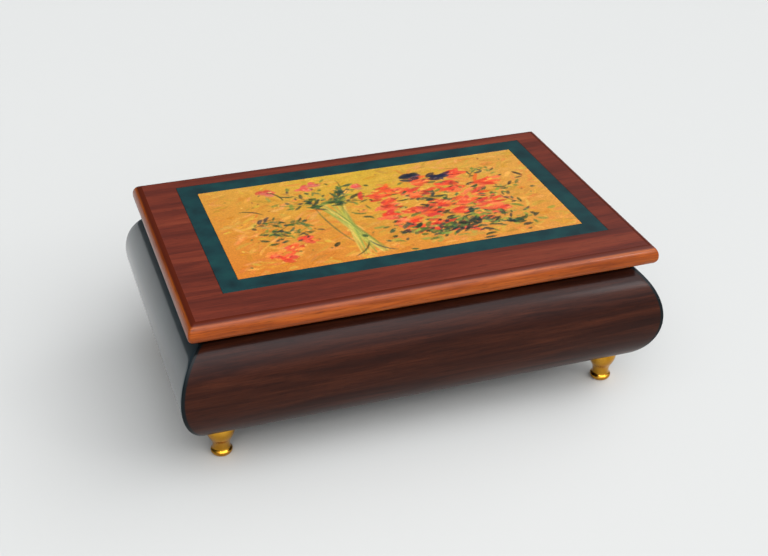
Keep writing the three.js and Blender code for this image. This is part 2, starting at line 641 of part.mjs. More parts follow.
for (const [side, x] of hingePlaces) {
  const width = around(x, HINGE_LENGTH);
  const caseLeafY = [hingeY - KNUCKLE_RADIUS, hingeY - KNUCKLE_RADIUS + LEAF_THICKNESS];
  const lidLeafZ = [hingeZ + KNUCKLE_RADIUS - LEAF_THICKNESS, hingeZ + KNUCKLE_RADIUS];
  const casePlate = block(width, caseLeafY, [hingeZ - LEAF_WIDTH_CASE, hingeZ]);
  const lidPlate = block(width, [hingeY - LEAF_WIDTH_LID, hingeY], lidLeafZ);
  const pin = barX(HINGE_PIN_RADIUS, around(x, HINGE_LENGTH), hingeY, hingeZ, 12);
  add("hinge_" + side + "_case_leaf", hingeLeaf(x, casePlate, 0), "brass");
  add("hinge_" + side + "_lid_leaf", hingeLeaf(x, lidPlate, 1), "brass");
  add("hinge_" + side + "_pin", pin, "steel");
}

// ---------------------------------------------------------------------------------------------
// Jewellery compartment: lining, ring rolls, divider and the open well's pad
// ---------------------------------------------------------------------------------------------

const roomY = innerY - JOINT_GAP;
const partitionTop = rimTopZ - PARTITION_DROP;
const partitionSpan = [partitionX, partitionX + PARTITION_THICKNESS];
add("partition_board", block(partitionSpan, [-roomY, roomY], [floorZ + JOINT_GAP, partitionTop]), "velvet");

const liningSpanX = [JOINT_GAP - innerX, partitionX - JOINT_GAP];
const liningSpanY = [-roomY, roomY];
const liningShell = block(liningSpanX, liningSpanY, [floorZ + JOINT_GAP, rimTopZ - LINING_DROP]);
const liningHollow = block(
  widened(liningSpanX, -LINING_THICKNESS),
  widened(liningSpanY, -LINING_THICKNESS),
  [liningFloorZ, rimTopZ],
);
add("compartment_lining", cut(liningShell, liningHollow), "velvet");

// A ring roll's section: flat underneath, straight sides and a round top.
function rollSection() {
  const radius = ROLL_WIDTH / 2;
  const section = new THREE.Shape();
  section.moveTo(-radius, 0);
  section.lineTo(radius, 0);
  section.absarc(0, ROLL_HEIGHT - radius, radius, 0, Math.PI, false);
  return section;
}

const padZ = liningFloorZ + PAD_GAP;
const insideY = roomY - LINING_THICKNESS - PAD_GAP;
const rollStart = -innerX + JOINT_GAP + LINING_THICKNESS + ROLL_GAP;
for (let i = 0; i < ROLLS; i += 1) {
  const x = rollStart + ROLL_WIDTH / 2 + i * (ROLL_WIDTH + ROLL_GAP);
  const roll = alongY(raised(rollSection(), [-insideY, insideY], 5));
  add("ring_roll_" + (i + 1), roll.translate(x, 0, padZ), "velvet");
}
const dividerX = rollStart + ROLLS * (ROLL_WIDTH + ROLL_GAP);
const dividerSpan = [dividerX, dividerX + DIVIDER_THICKNESS];
const dividerZ = [liningFloorZ + JOINT_GAP, liningFloorZ + DIVIDER_HEIGHT];
add("roll_divider", block(dividerSpan, [-insideY, insideY], dividerZ), "velvet");

const wellSpan = [dividerX + DIVIDER_THICKNESS + PAD_GAP, liningSpanX[1] - LINING_THICKNESS - PAD_GAP];
add("well_pad", block(wellSpan, [-insideY, insideY], [padZ, padZ + PAD_THICKNESS]), "velvet");

// ---------------------------------------------------------------------------------------------
// Movement's cover on its two battens
// ---------------------------------------------------------------------------------------------

const musicSpan = [partitionX + PARTITION_THICKNESS + COVER_GAP, innerX - COVER_GAP];
const battenZ = [coverZ - COVER_GAP - BATTEN, coverZ - COVER_GAP];
add("cover_batten_front", block(musicSpan, [-roomY, BATTEN - roomY], battenZ), "board");
add("cover_batten_rear", block(musicSpan, [roomY - BATTEN, roomY], battenZ), "board");

const coverY = innerY - COVER_GAP;
const coverPlate = block(musicSpan, [-coverY, coverY], [coverZ, coverZ + COVER_THICKNESS]);
const rodHole = barZ(STOP_ROD_RADIUS + RUN, [0, lidZ], moveX + wormX, rodY);
add("movement_cover", cut(coverPlate, rodHole), "clear");

// ---------------------------------------------------------------------------------------------
// Bedplate, with the comb's ledge and the cylinder's two bearing posts
// ---------------------------------------------------------------------------------------------

const combBack = -BEDPLATE_DEPTH / 2;
const combBaseFront = combBack + COMB_BASE_DEPTH;
const combBaseZ = cylinderZ - COMB_THICKNESS / 2;
const ledgeZ = [BEDPLATE_THICKNESS / 2, combBaseZ - JOINT_GAP];
const combSpan = [CYLINDER_START, cylinderEnd];
const postTop = cylinderZ + POST_HEAD;
const rightPost = [innerPostX, innerPostX + POST_THICKNESS];
const combScrewX = [combSpan[0] + COMB_SCREW_INSET, combSpan[1] - COMB_SCREW_INSET];
const combScrewY = combBack + COMB_BASE_DEPTH / 2;

function bedplate() {
  const spanX = [-BEDPLATE_LENGTH / 2, BEDPLATE_LENGTH / 2];
  const spanY = [-BEDPLATE_DEPTH / 2, BEDPLATE_DEPTH / 2];
  const posts = [leftPost, rightPost];
  const footed = (span) => block(span, around(0, POST_WIDTH), [BEDPLATE_THICKNESS / 2, postTop]);
  const ledge = block(combSpan, [combBack, combBaseFront], ledgeZ);
  const plate = block(spanX, spanY, [JOINT_GAP, BEDPLATE_THICKNESS]);
  const slotWidth = 2 * (CYLINDER_ARBOR_RADIUS + RUN);
  const tools = [barZ(WINDING_ARBOR_RADIUS + RUN, [-PAST, BEDPLATE_THICKNESS + PAST], barrelX, 0)];
  for (const span of posts) {
    tools.push(barX(slotWidth / 2, widened(span, PAST), 0, cylinderZ));
    tools.push(block(widened(span, PAST), around(0, slotWidth), [cylinderZ, postTop + PAST]));
  }
  for (const [x, y] of screwPlaces) {
    tools.push(barZ(SCREW_RADIUS + FIT, [-PAST, BEDPLATE_THICKNESS + PAST], x, y, 12));
  }
  for (const x of combScrewX) {
    tools.push(barZ(SCREW_RADIUS, [ledgeZ[1] - COMB_SCREW_LENGTH, ledgeZ[1] + PAST], x, combScrewY, 12));
  }
  return cut(join(plate, ledge, ...posts.map(footed)), ...tools);
}

add("bedplate", bedplate(), "steel", movement);

const capZ = [postTop + JOINT_GAP, postTop + JOINT_GAP + CAP_THICKNESS];
add("bearing_cap_left", block(leftPost, around(0, POST_WIDTH), capZ), "steel", movement);
add("bearing_cap_right", block(rightPost, around(0, POST_WIDTH), capZ), "steel", movement);

// ---------------------------------------------------------------------------------------------
// Comb: one steel tine for each track, long in the bass and short in the treble
// ---------------------------------------------------------------------------------------------

function comb() {
  const tipY = -(pinCircle + COMB_TIP_GAP);
  const half = (TRACK_PITCH - COMB_SLOT) / 2;
  const outline = [[combSpan[0], combBack], [combSpan[1], combBack], [combSpan[1], combBaseFront]];
  for (let i = TRACKS - 1; i >= 0; i -= 1) {
    const middle = trackX(i);
    const rightRoot = i === TRACKS - 1 ? combBaseFront : slotRoot(tipY, i + 1);
    const leftRoot = i === 0 ? combBaseFront : slotRoot(tipY, i);
    outline.push([middle + half, rightRoot], [middle + half, tipY]);
    outline.push([middle - half, tipY], [middle - half, leftRoot]);
  }
  outline.push([combSpan[0], combBaseFront]);
  const tines = raised(outline, [combBaseZ, combBaseZ + COMB_THICKNESS]);
  const baseZ = [combBaseZ, combBaseZ + COMB_BASE_THICKNESS];
  const base = block(combSpan, [combBack, combBaseFront - 1], baseZ);
  const holes = combScrewX.map((x) => barZ(SCREW_RADIUS + FIT, [0, 2 * cylinderZ], x, combScrewY, 12));
  return cut(join(tines, base), ...holes);
}

// Where the slot to the left of a tine ends: the slots get shorter towards the treble.
function slotRoot(tipY, track) {
  const share = track / (TRACKS - 1);
  return tipY - LONGEST_TINE + share * (LONGEST_TINE - SHORTEST_TINE);
}

function trackX(track) {
  return CYLINDER_START + TRACK_MARGIN + TRACK_PITCH / 2 + track * TRACK_PITCH;
}

// A slotted cheese-head screw that points along -Z from under its head.
function screw(x, y, headZ, length, shank) {
  const headRadius = SCREW_HEAD_RADIUS * CHEESE_HEAD;
  const body = turned([
    [0, headZ - length],
    [shank, headZ - length],
    [shank, headZ],
    [headRadius, headZ],
    [headRadius, headZ + SCREW_HEAD_HEIGHT],
    [0, headZ + SCREW_HEAD_HEIGHT],
  ], x, y, 12);
  const slotZ = [headZ + SCREW_HEAD_HEIGHT - SCREW_SLOT, headZ + SCREW_HEAD_HEIGHT + PAST];
  return cut(body, block(around(x, 3 * SCREW_HEAD_RADIUS), around(y, SCREW_SLOT), slotZ));
}

add("comb", comb(), "steel", movement);
combScrewX.forEach((x, i) => {
  const headZ = combBaseZ + COMB_BASE_THICKNESS + JOINT_GAP;
  const piece = screw(x, combScrewY, headZ, COMB_SCREW_LENGTH, SCREW_RADIUS - FIT);
  add("comb_screw_" + (i + 1), piece, "steel", movement);
});

// ---------------------------------------------------------------------------------------------
// Pinned cylinder with its arbor, drive pinion and great wheel
// ---------------------------------------------------------------------------------------------

const boreFit = CYLINDER_ARBOR_RADIUS + FIT;

function pinnedCylinder() {
  let drum = barX(CYLINDER_RADIUS, combSpan, 0, cylinderZ, 32);
  const pins = [];
  for (let track = 0; track < TRACKS; track += 1) {
    for (let beat = 0; beat < PINS_PER_TRACK; beat += 1) {
      const angle = 2 * Math.PI * ((beat + ((track * 5) % 7) / 7 + (track % 3) / 11) / PINS_PER_TRACK);
      const pin = new THREE.CylinderGeometry(PIN_RADIUS, PIN_RADIUS, PIN_HEIGHT + PIN_ROOT, 4);
      pin.translate(0, CYLINDER_RADIUS + (PIN_HEIGHT - PIN_ROOT) / 2, 0).rotateX(angle);
      pins.push(pin.translate(trackX(track), 0, cylinderZ));
    }
  }
  drum = join(drum, ...pins);
  return cut(drum, barX(boreFit, widened(combSpan, PAST), 0, cylinderZ, 12));
}

add("cylinder", pinnedCylinder(), "brass", movement);
const cylinderArborSpan = [pinionX - PINION_FACE / 2 - ARBOR_END, rightPost[1] + ARBOR_END];
const cylinderArbor = barX(CYLINDER_ARBOR_RADIUS, cylinderArborSpan, 0, cylinderZ, 12);
add("cylinder_arbor", cylinderArbor, "steel", movement);

const drivePinion = gear({
  teeth: PINION_TEETH,
  tip: pinionRadius + PINION_ADDENDUM * CROWN_MODULE,
  root: pinionRadius - PINION_DEDENDUM * CROWN_MODULE,
  tipWidth: 0.16,
  rootWidth: 0.5,
  bore: boreFit,
  face: PINION_FACE,
  phase: -Math.PI / 2 + Math.PI / PINION_TEETH,
});
alongX(drivePinion).translate(pinionX - PINION_FACE / 2, 0, cylinderZ);
add("drive_pinion", drivePinion, "brass", movement);

const meshAngle = Math.atan2(-GOVERNOR_DROP, governorY);
const greatWheel = gear({
  teeth: GREAT_WHEEL_TEETH,
  tip: greatWheelRadius + SPUR_ADDENDUM * SPUR_MODULE,
  root: greatWheelRadius - SPUR_DEDENDUM * SPUR_MODULE,
  tipWidth: 0.18,
  rootWidth: 0.52,
  bore: boreFit,
  face: SPUR_FACE,
  phase: meshAngle,
});
add("great_wheel", alongX(greatWheel).translate(greatWheelX, 0, cylinderZ), "brass", movement);

// ---------------------------------------------------------------------------------------------
// Spring barrel: a drum with crown teeth, closed by a cap under the mainspring
// ---------------------------------------------------------------------------------------------

const capTop = BARREL_FLOOR + BARREL_WALL;
const arborBore = WINDING_ARBOR_RADIUS + RUN;

function springBarrel() {
  const inner = BARREL_RADIUS - BARREL_WALL;
  let drum = cut(
    barZ(BARREL_RADIUS, [BARREL_FLOOR, BARREL_TOP], 0, 0, 34),
    barZ(inner, [BARREL_FLOOR - PAST, BARREL_TOP - BARREL_WALL], 0, 0, 34),
    barZ(arborBore, [0, BARREL_TOP + PAST], 0, 0, 12),
  );
  const pitch = Math.PI * CROWN_MODULE;
  const rootHalf = (CROWN_ROOT_WIDTH * pitch) / 2;
  const tipHalf = (CROWN_TIP_WIDTH * pitch) / 2;
  const height = (CROWN_DEDENDUM + CROWN_ADDENDUM) * CROWN_MODULE;
  const rightHalf = [[rootHalf, -CROWN_SINK], [rootHalf, 0], [tipHalf, height]];
  const leftHalf = rightHalf.map(([x, z]) => [-x, z]).reverse();
  const reach = [crownRadius - CROWN_FACE / 2, crownRadius + CROWN_FACE / 2 - FIT / 4];
  const teeth = [];
  for (let tooth = 0; tooth < CROWN_TEETH; tooth += 1) {
    const bar = alongX(raised([...rightHalf, ...leftHalf], reach)).translate(0, 0, BARREL_TOP);
    teeth.push(bar.rotateZ((2 * Math.PI * tooth) / CROWN_TEETH));
  }
  drum = join(drum, ...teeth);
  return drum.translate(barrelX, 0, 0);
}

add("spring_barrel", springBarrel(), "brass", movement);

const capDisc = barZ(BARREL_RADIUS - BARREL_WALL - FIT, [BARREL_FLOOR, capTop], barrelX, 0, 34);
const capHole = barZ(arborBore, [0, BARREL_TOP], barrelX, 0, 12);
add("barrel_cap", cut(capDisc, capHole), "brass", movement);

// The mainspring is a flat strip wound in a spiral between the arbor and the drum's wall.
function mainspring() {
  const inner = WINDING_ARBOR_RADIUS + SPRING_EYE;
  const outer = BARREL_RADIUS - BARREL_WALL - SPRING_STRIP - SPRING_ROOM;
  const steps = SPRING_TURNS * 16;
  const inside = [];
  const outside = [];
  for (let i = 0; i <= steps; i += 1) {
    const angle = (2 * Math.PI * SPRING_TURNS * i) / steps;
    const radius = inner + ((outer - inner) * i) / steps;
    inside.push(polar(radius, angle));
    outside.unshift(polar(radius + SPRING_STRIP, angle));
  }
  const strip = new THREE.Shape([...inside, ...outside]);
  return raised(strip, [capTop + RUN, BARREL_TOP - BARREL_WALL - RUN]).translate(barrelX, 0, 0);
}

add("mainspring", mainspring(), "steel", movement);

// ---------------------------------------------------------------------------------------------
// Winding arbor, clutch spring, key bushing, key and the movement's screws
// ---------------------------------------------------------------------------------------------

const keyTop = -BOARD_THICKNESS - KEY_DROP;
const keyBottom = keyTop - KEY_HEIGHT;
const arborFoot = keyTop - KEY_SOCKET;
const arborHead = BARREL_TOP + RUN;

const windingArbor = turned([
  [0, arborFoot],
  [WINDING_ARBOR_RADIUS, arborFoot],
  [WINDING_ARBOR_RADIUS, arborHead],
  [WINDING_ARBOR_RADIUS + ARBOR_FLANGE, arborHead],
  [WINDING_ARBOR_RADIUS + ARBOR_FLANGE, arborHead + ARBOR_FLANGE_THICKNESS],
  [0, arborHead + ARBOR_FLANGE_THICKNESS],
], barrelX, 0, 12);
add("winding_arbor", windingArbor, "steel", movement);

// The clutch spring is a coil round the arbor that grips it against running back.
class Coil extends THREE.Curve {
  constructor(radius, pitch, turns, startAngle, startZ) {
    super();
    Object.assign(this, { radius, pitch, turns, startAngle, startZ });
  }

  getPoint(t, target = new THREE.Vector3()) {
    const angle = this.startAngle + 2 * Math.PI * this.turns * t;
    const height = this.startZ + this.pitch * this.turns * t;
    return target.set(this.radius * Math.cos(angle), this.radius * Math.sin(angle), height);
  }
}

// A bar of a regular section wound along a coil.
function wound(coil, radius, sides, stepsPerTurn) {
  const corners = [];
  for (let i = 0; i < sides; i += 1) {
    corners.push(polar(radius, (2 * Math.PI * i) / sides));
  }
  const steps = Math.round(coil.turns * stepsPerTurn);
  const settings = { steps, extrudePath: coil, bevelEnabled: false };
  return new THREE.ExtrudeGeometry(new THREE.Shape(corners), settings);
}

const clutchRadius = WINDING_ARBOR_RADIUS + RUN + CLUTCH_WIRE;
const clutchCoil = new Coil(clutchRadius, CLUTCH_PITCH, CLUTCH_TURNS, 0, BEDPLATE_THICKNESS + CLUTCH_LIFT);
const clutch = wound(clutchCoil, CLUTCH_WIRE, 6, 12).translate(barrelX, 0, 0);
add("clutch_spring", clutch, "steel", movement);

const flangeTop = -BOARD_THICKNESS - BUSHING_GAP;
const flangeFoot = flangeTop - BUSHING_FLANGE_THICKNESS;
const keyBushing = turned([
  [arborBore, flangeFoot],
  [bushingRadius + BUSHING_FLANGE, flangeFoot],
  [bushingRadius + BUSHING_FLANGE, flangeTop],
  [bushingRadius, flangeTop],
  [bushingRadius, -FIT],
  [arborBore, -FIT],
  [arborBore, flangeFoot],
], barrelX, 0, 16);
add("key_bushing", keyBushing, "brass", movement);

function windingKey() {
  const wingZ = keyBottom + KEY_WING_RADIUS;
  const plateDepth = around(0, KEY_THICKNESS);
  const disc = (radius, depth, x) => barX(radius, depth, x, wingZ).rotateZ(Math.PI / 2);
  const centres = [-KEY_WING_OFFSET, KEY_WING_OFFSET];
  const wings = centres.map((x) => disc(KEY_WING_RADIUS, plateDepth, x));
  const eyes = centres.map((x) => disc(KEY_WING_RADIUS * KEY_EYE_SHARE, widened(plateDepth, PAST), x));
  const web = block(centres, plateDepth, around(wingZ, KEY_WING_RADIUS));
  const hub = barZ(KEY_HUB_RADIUS, [wingZ, keyTop], 0, 0, 16);
  const socket = barZ(WINDING_ARBOR_RADIUS + FIT, [arborFoot - FIT, keyTop + PAST], 0, 0, 12);
  return cut(join(web, hub, ...wings), socket, ...eyes).translate(barrelX, 0, 0);
}

add("winding_key", windingKey(), "brass", movement);

// Screws that come up through the board into the bedplate, their heads let into the underside.
screwPlaces.forEach(([x, y], i) => {
  const headZ = BOARD_THICKNESS - SCREW_HEAD_HEIGHT;
  const length = headZ + BEDPLATE_THICKNESS - MOVEMENT_SCREW_SHORT;
  const upright = screw(0, 0, headZ, length, SCREW_RADIUS).rotateX(Math.PI).translate(x, y, 0);
  add("movement_screw_" + (i + 1), upright, "steel", movement);
});

// ---------------------------------------------------------------------------------------------
// Governor: bracket, arbor with its pinion and worm wheel, worm shaft and fan
// ---------------------------------------------------------------------------------------------

const bracketBase = [BEDPLATE_THICKNESS + JOINT_GAP, BEDPLATE_THICKNESS + JOINT_GAP + BRACKET_THICKNESS];
const smallBore = SMALL_ARBOR_RADIUS + RUN;
const postY = around(governorY, BRACKET_POST_WIDTH);
const outerPost = [outerPostX, outerPostX + BRACKET_THICKNESS];
const innerPost = [innerPostX, innerPostX + BRACKET_THICKNESS];
const stepTop = governorZ - WORM_WHEEL_RADIUS - STEP_DROP;
const bracketBackY = wormY + BRACKET_BACK;
const stepHalf = BRACKET_POST_WIDTH / 2;

function governorBracket() {
  const spanX = [innerPost[0], outerPost[1]];
  const base = block(spanX, [postY[0], bracketBackY], bracketBase);
  const inner = block(innerPost, postY, [bracketBase[0], governorZ + BRACKET_POST_HEAD]);
  const outer = block(outerPost, postY, [bracketBase[0], armZ + BRACKET_THICKNESS]);
  const stepZ = [bracketBase[0], stepTop];
  const step = block([wormX - stepHalf, wormX + stepHalf], [wormY - stepHalf, bracketBackY], stepZ);
  const armSpanZ = [armZ, armZ + BRACKET_THICKNESS];
  const arm = block([wormX - stepHalf, outerPost[1]], [postY[0], bracketBackY], armSpanZ);
  const arborHole = barX(smallBore, widened(spanX, PAST), governorY, governorZ, 12);
  const shaftHole = barZ(smallBore, [stepTop - SHAFT_SOCKET, fanZ], wormX, wormY, 12);
  return cut(join(base, inner, outer, step, arm), arborHole, shaftHole);
}

add("governor_bracket", governorBracket(), "steel", movement);

// The governor's arbor and its pinion are cut from one bar.
const governorArborSpan = [greatWheelX - RUN, outerPost[1] + ARBOR_END];
const governorArbor = barX(SMALL_ARBOR_RADIUS, governorArborSpan, governorY, governorZ, 12);
const governorPinion = gear({
  teeth: GOVERNOR_PINION_TEETH,
  tip: governorPinionRadius + SPUR_ADDENDUM * SPUR_MODULE,
  root: governorPinionRadius - SPUR_DEDENDUM * SPUR_MODULE,
  tipWidth: 0.12,
  rootWidth: 0.44,
  bore: SMALL_ARBOR_RADIUS / 2,
  face: SPUR_FACE,
  phase: meshAngle + Math.PI + Math.PI / GOVERNOR_PINION_TEETH,
});
alongX(governorPinion).translate(greatWheelX, governorY, governorZ);
add("governor_arbor", join(governorPinion, governorArbor), "steel", movement);

const wormLead = (wormPitch / (2 * Math.PI * WORM_RADIUS)) * (WORM_WHEEL_FACE / WORM_WHEEL_RADIUS);
const wormWheel = gear({
  teeth: WORM_WHEEL_TEETH,
  tip: WORM_WHEEL_RADIUS + 0.25,
  root: WORM_WHEEL_RADIUS - 0.4,
  tipWidth: 0.2,
  rootWidth: 0.5,
  bore: SMALL_ARBOR_RADIUS + FIT,
  face: WORM_WHEEL_FACE,
  phase: -wormLead / 2,
  lead: wormLead,
});
add("worm_wheel", alongX(wormWheel).translate(wormWheelX, governorY, governorZ), "plastic", movement);

// The worm's single right-hand thread has its groove centred on the wheel's middle tooth.
function wormShaft() {
  const contactAngle = -Math.PI / 2;
  const startZ = governorZ + wormPitch / 2 - (WORM_TURNS / 2) * wormPitch;
  const coil = new Coil(WORM_RADIUS - WORM_RIDGE_SINK, wormPitch, WORM_TURNS, contactAngle, startZ);
  const coreSpan = widened([startZ, startZ + WORM_TURNS * wormPitch], wormPitch / 2);
  const core = barZ(WORM_RADIUS - WORM_CORE, coreSpan, 0, 0, 12);
  const shaft = barZ(SMALL_ARBOR_RADIUS, [stepTop - SHAFT_SOCKET + FIT, fanZ + FAN_HEIGHT], 0, 0, 12);
  return join(shaft, core, wound(coil, WORM_RIDGE, 4, 9)).translate(wormX, wormY, 0);
}

add("worm_shaft", wormShaft(), "steel", movement);

function fan() {
  const span = [fanZ, fanZ + FAN_HEIGHT - FIT];
  const blade = block(around(0, 2 * FAN_RADIUS), around(0, FAN_BLADE), span);
  const hub = barZ(SMALL_ARBOR_RADIUS + FIT + FAN_HUB_WALL, span, 0, 0, 12);
  const bore = barZ(SMALL_ARBOR_RADIUS + FIT, widened(span, PAST), 0, 0, 12);
  return cut(join(blade, hub), bore).translate(wormX, wormY, 0);
}

add("fan", fan(), "plastic", movement);

// ---------------------------------------------------------------------------------------------
// Start and stop: rod with its brake pad, guide, and the leaf spring that lifts the rod
// ---------------------------------------------------------------------------------------------

const rodFoot = BEDPLATE_THICKNESS;
const brakeZ = fanZ + FAN_HEIGHT / 2;

const rodShaft = barZ(STOP_ROD_RADIUS, [rodFoot, rodTopZ - floorZ], wormX, rodY);
const rodArmY = [brakeY + BRAKE_THICKNESS + JOINT_GAP, rodY];
const rodArm = block(around(wormX, STOP_ARM_THICKNESS), rodArmY, around(brakeZ, STOP_ARM_THICKNESS));
add("stop_rod", join(rodShaft, rodArm), "steel", movement);
const brakePadY = [brakeY, brakeY + BRAKE_THICKNESS];
const brakePad = block(around(wormX, BRAKE_WIDTH), brakePadY, around(brakeZ, BRAKE_HEIGHT));
add("brake_pad", brakePad, "velvet", movement);

function stopGuide() {
  const width = around(wormX, GUIDE_WIDTH);
  const backY = [rodY + GUIDE_LUG, rodY + GUIDE_LUG + GUIDE_BACK];
  const back = block(width, backY, [JOINT_GAP, GUIDE_HEIGHT]);
  const lug = block(width, [rodY - GUIDE_LUG, backY[1]], [GUIDE_HEIGHT - GUIDE_LUG, GUIDE_HEIGHT]);
  return cut(join(back, lug), barZ(STOP_ROD_RADIUS + RUN, [0, GUIDE_HEIGHT + PAST], wormX, rodY));
}

add("stop_guide", stopGuide(), "steel", movement);

// A leaf spring: screwed flat to the board at one end, its free end under the rod.
function stopSpring() {
  const low = JOINT_GAP;
  const high = rodFoot - RUN - LIFT_SPRING_THICKNESS;
  const underside = [
    ...LIFT_SPRING_FOOT.map((x) => [wormX + x, low]),
    ...LIFT_SPRING_TIP.map((x) => [wormX + x, high]),
  ];
  const upperside = underside.map(([x, z]) => [x, z + LIFT_SPRING_THICKNESS]).reverse();
  const strip = raised([...underside, ...upperside], around(0, LIFT_SPRING_WIDTH));
  return alongY(strip).translate(0, rodY, 0);
}

add("stop_spring", stopSpring(), "steel", movement);

export default musicBox;
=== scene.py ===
import json
import math

import bmesh
import bpy
import numpy as np
from mathutils import Matrix, Vector, noise

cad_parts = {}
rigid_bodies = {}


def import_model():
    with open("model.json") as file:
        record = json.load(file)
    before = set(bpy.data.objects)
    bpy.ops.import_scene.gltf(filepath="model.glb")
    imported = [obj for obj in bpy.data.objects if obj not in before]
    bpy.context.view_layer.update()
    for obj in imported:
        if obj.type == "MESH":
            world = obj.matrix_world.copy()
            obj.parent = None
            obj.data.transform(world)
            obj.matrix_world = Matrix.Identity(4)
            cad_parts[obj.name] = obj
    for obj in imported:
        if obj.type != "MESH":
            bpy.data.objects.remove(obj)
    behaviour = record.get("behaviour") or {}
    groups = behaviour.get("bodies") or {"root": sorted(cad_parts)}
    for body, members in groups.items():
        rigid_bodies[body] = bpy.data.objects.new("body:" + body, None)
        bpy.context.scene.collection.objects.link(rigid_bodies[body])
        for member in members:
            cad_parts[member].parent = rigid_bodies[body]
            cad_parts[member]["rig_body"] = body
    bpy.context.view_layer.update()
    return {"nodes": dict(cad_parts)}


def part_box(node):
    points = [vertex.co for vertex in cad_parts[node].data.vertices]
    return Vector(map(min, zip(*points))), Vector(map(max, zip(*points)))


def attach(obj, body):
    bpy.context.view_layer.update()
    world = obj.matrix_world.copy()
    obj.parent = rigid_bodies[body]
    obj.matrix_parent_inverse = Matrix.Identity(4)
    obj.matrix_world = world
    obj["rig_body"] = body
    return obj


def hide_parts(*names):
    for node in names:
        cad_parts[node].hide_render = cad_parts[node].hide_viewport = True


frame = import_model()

MM = 0.001


def span(node):
    """A CAD piece's lowest and highest corner, in millimetres."""
    low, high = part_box(node)
    return low / MM, high / MM


# ---------------------------------------------------------------------------------------------------
# Camera. It stands to the left of the box's front, a little over half a metre away, and looks down on
# the lid through a short telephoto lens, so that the box's long edges stay almost parallel.
# ---------------------------------------------------------------------------------------------------

azimuth = math.radians(-18.77)
elevation = math.radians(30.41)
roll = math.radians(0.21)
border_low, border_high = span("inlay_border")
aim = Vector(((border_low.x + border_high.x) / 2, (border_low.y + border_high.y) / 2, border_high.z))
away = Vector((
    math.sin(azimuth) * math.cos(elevation),
    -math.cos(azimuth) * math.cos(elevation),
    math.sin(elevation),
))
level_right = (-away).cross(Vector((0, 0, 1))).normalized()
level_up = level_right.cross(-away)
right = level_right * math.cos(roll) + level_up * math.sin(roll)
up = level_up * math.cos(roll) - level_right * math.sin(roll)
camera = bpy.data.objects.new("camera", bpy.data.cameras.new("camera"))
camera.data.sensor_width = 36
camera.data.lens = 61.31
to_left, to_below, distance = 0.83, 29.24, 549.08
stand = (aim - right * to_left - up * to_below + away * distance) * MM
camera.matrix_world = Matrix.Translation(stand) @ Matrix((right, up, away)).transposed().to_4x4()
bpy.context.scene.collection.objects.link(camera)
bpy.context.scene.camera = camera

# ---------------------------------------------------------------------------------------------------
# Studio. A pale matt sheet lies under the box in a dim grey room. A broad soft glow lights it from the
# front and above, a narrower one comes from behind at the right, and two small lamps in front put
# crisp highlights on the brass.
# ---------------------------------------------------------------------------------------------------


def linear(colour):
    """An sRGB hex colour as the linear red, green, blue and alpha that the shaders take."""
    parts = [int(colour[i:i + 2], 16) / 255 for i in (1, 3, 5)]
    return [p / 12.92 if p <= 0.04045 else ((p + 0.055) / 1.055) ** 2.4 for p in parts] + [1.0]


def add(tree, kind, inputs=None, stops=None, **settings):
    """Adds a shader node and returns its first output. An input is a value or another node's output,
    and stops are the (position, colour) pairs of a colour ramp."""
    made = tree.nodes.new("ShaderNode" + kind)
    for name, value in settings.items():
        setattr(made, name, value)
    for name, value in (inputs or {}).items():
        if isinstance(value, bpy.types.NodeSocket):
            tree.links.new(value, made.inputs[name])
        else:
            made.inputs[name].default_value = value
    if stops:
        elements = made.color_ramp.elements
        while len(elements) < len(stops):
            elements.new(0.5)
        for element, (position, colour) in zip(elements, stops):
            element.position = position
            element.color = linear(colour)
    return made.outputs[0]


def material(name, **values):
    """A new material and its main shader, whose sockets are set by their names with _ for a space."""
    made = bpy.data.materials.new(name)
    made.use_nodes = True
    shader = made.node_tree.nodes["Principled BSDF"]
    for key, value in values.items():
        shader.inputs[key.replace("_", " ")].default_value = value
    return made, shader


world = bpy.data.worlds.new("soft_room")
world.use_nodes = True
bpy.context.scene.world = world
room = world.node_tree
direction = add(room, "TexCoord").node.outputs["Generated"]
height = add(room, "SeparateXYZ", {0: direction}).node.outputs["Z"]
walls = add(room, "ValToRGB", {"Fac": height}, stops=[
    (0.0, "#3c3d3e"), (0.17, "#434446"), (0.5, "#595a5d"), (0.8, "#828386"), (1.0, "#6e6f72"),
])
strength = 1.0
front_glow = ((0.25, -0.8, 0.6), 2.2, 23.0)  # the way to it, how narrow it is, and how bright
right_glow = ((0.8, 0.3, 0.55), 16.0, 14.0)
for toward, tightness, glow in (front_glow, right_glow):
    toward = Vector(toward).normalized()
    facing = add(room, "VectorMath", {0: direction, 1: toward}, operation="DOT_PRODUCT")
    facing = add(room, "Math", {0: facing.node.outputs["Value"], 1: 0.0}, operation="MAXIMUM")
    spread = add(room, "Math", {0: facing, 1: tightness}, operation="POWER")
    strength = add(room, "Math", {0: spread, 1: glow, 2: strength}, operation="MULTIPLY_ADD")
backdrop = room.nodes["Background"]
room.links.new(walls, backdrop.inputs["Color"])
room.links.new(strength, backdrop.inputs["Strength"])

for name, place in (("left_lamp", (-0.55, -1.0, 0.85)), ("right_lamp", (0.75, -1.0, 0.85))):
    lamp = bpy.data.objects.new(name, bpy.data.lights.new(name, "AREA"))
    lamp.data.size = 0.22
    lamp.data.energy = 1.3
    lamp.location = place
    lamp.rotation_euler = (-Vector(place)).to_track_quat("-Z", "Y").to_euler()
    bpy.context.scene.collection.objects.link(lamp)

bpy.context.scene.view_settings.view_transform = "Standard"

sheet_mesh = bpy.data.meshes.new("paper_floor")
reach = 3.0
sheet_mesh.from_pydata([(-reach, -reach, 0), (reach, -reach, 0), (reach, reach, 0), (-reach, reach, 0)],
                       [], [(0, 1, 2, 3)])
paper_floor = bpy.data.objects.new("paper_floor", sheet_mesh)
bpy.context.scene.collection.objects.link(paper_floor)
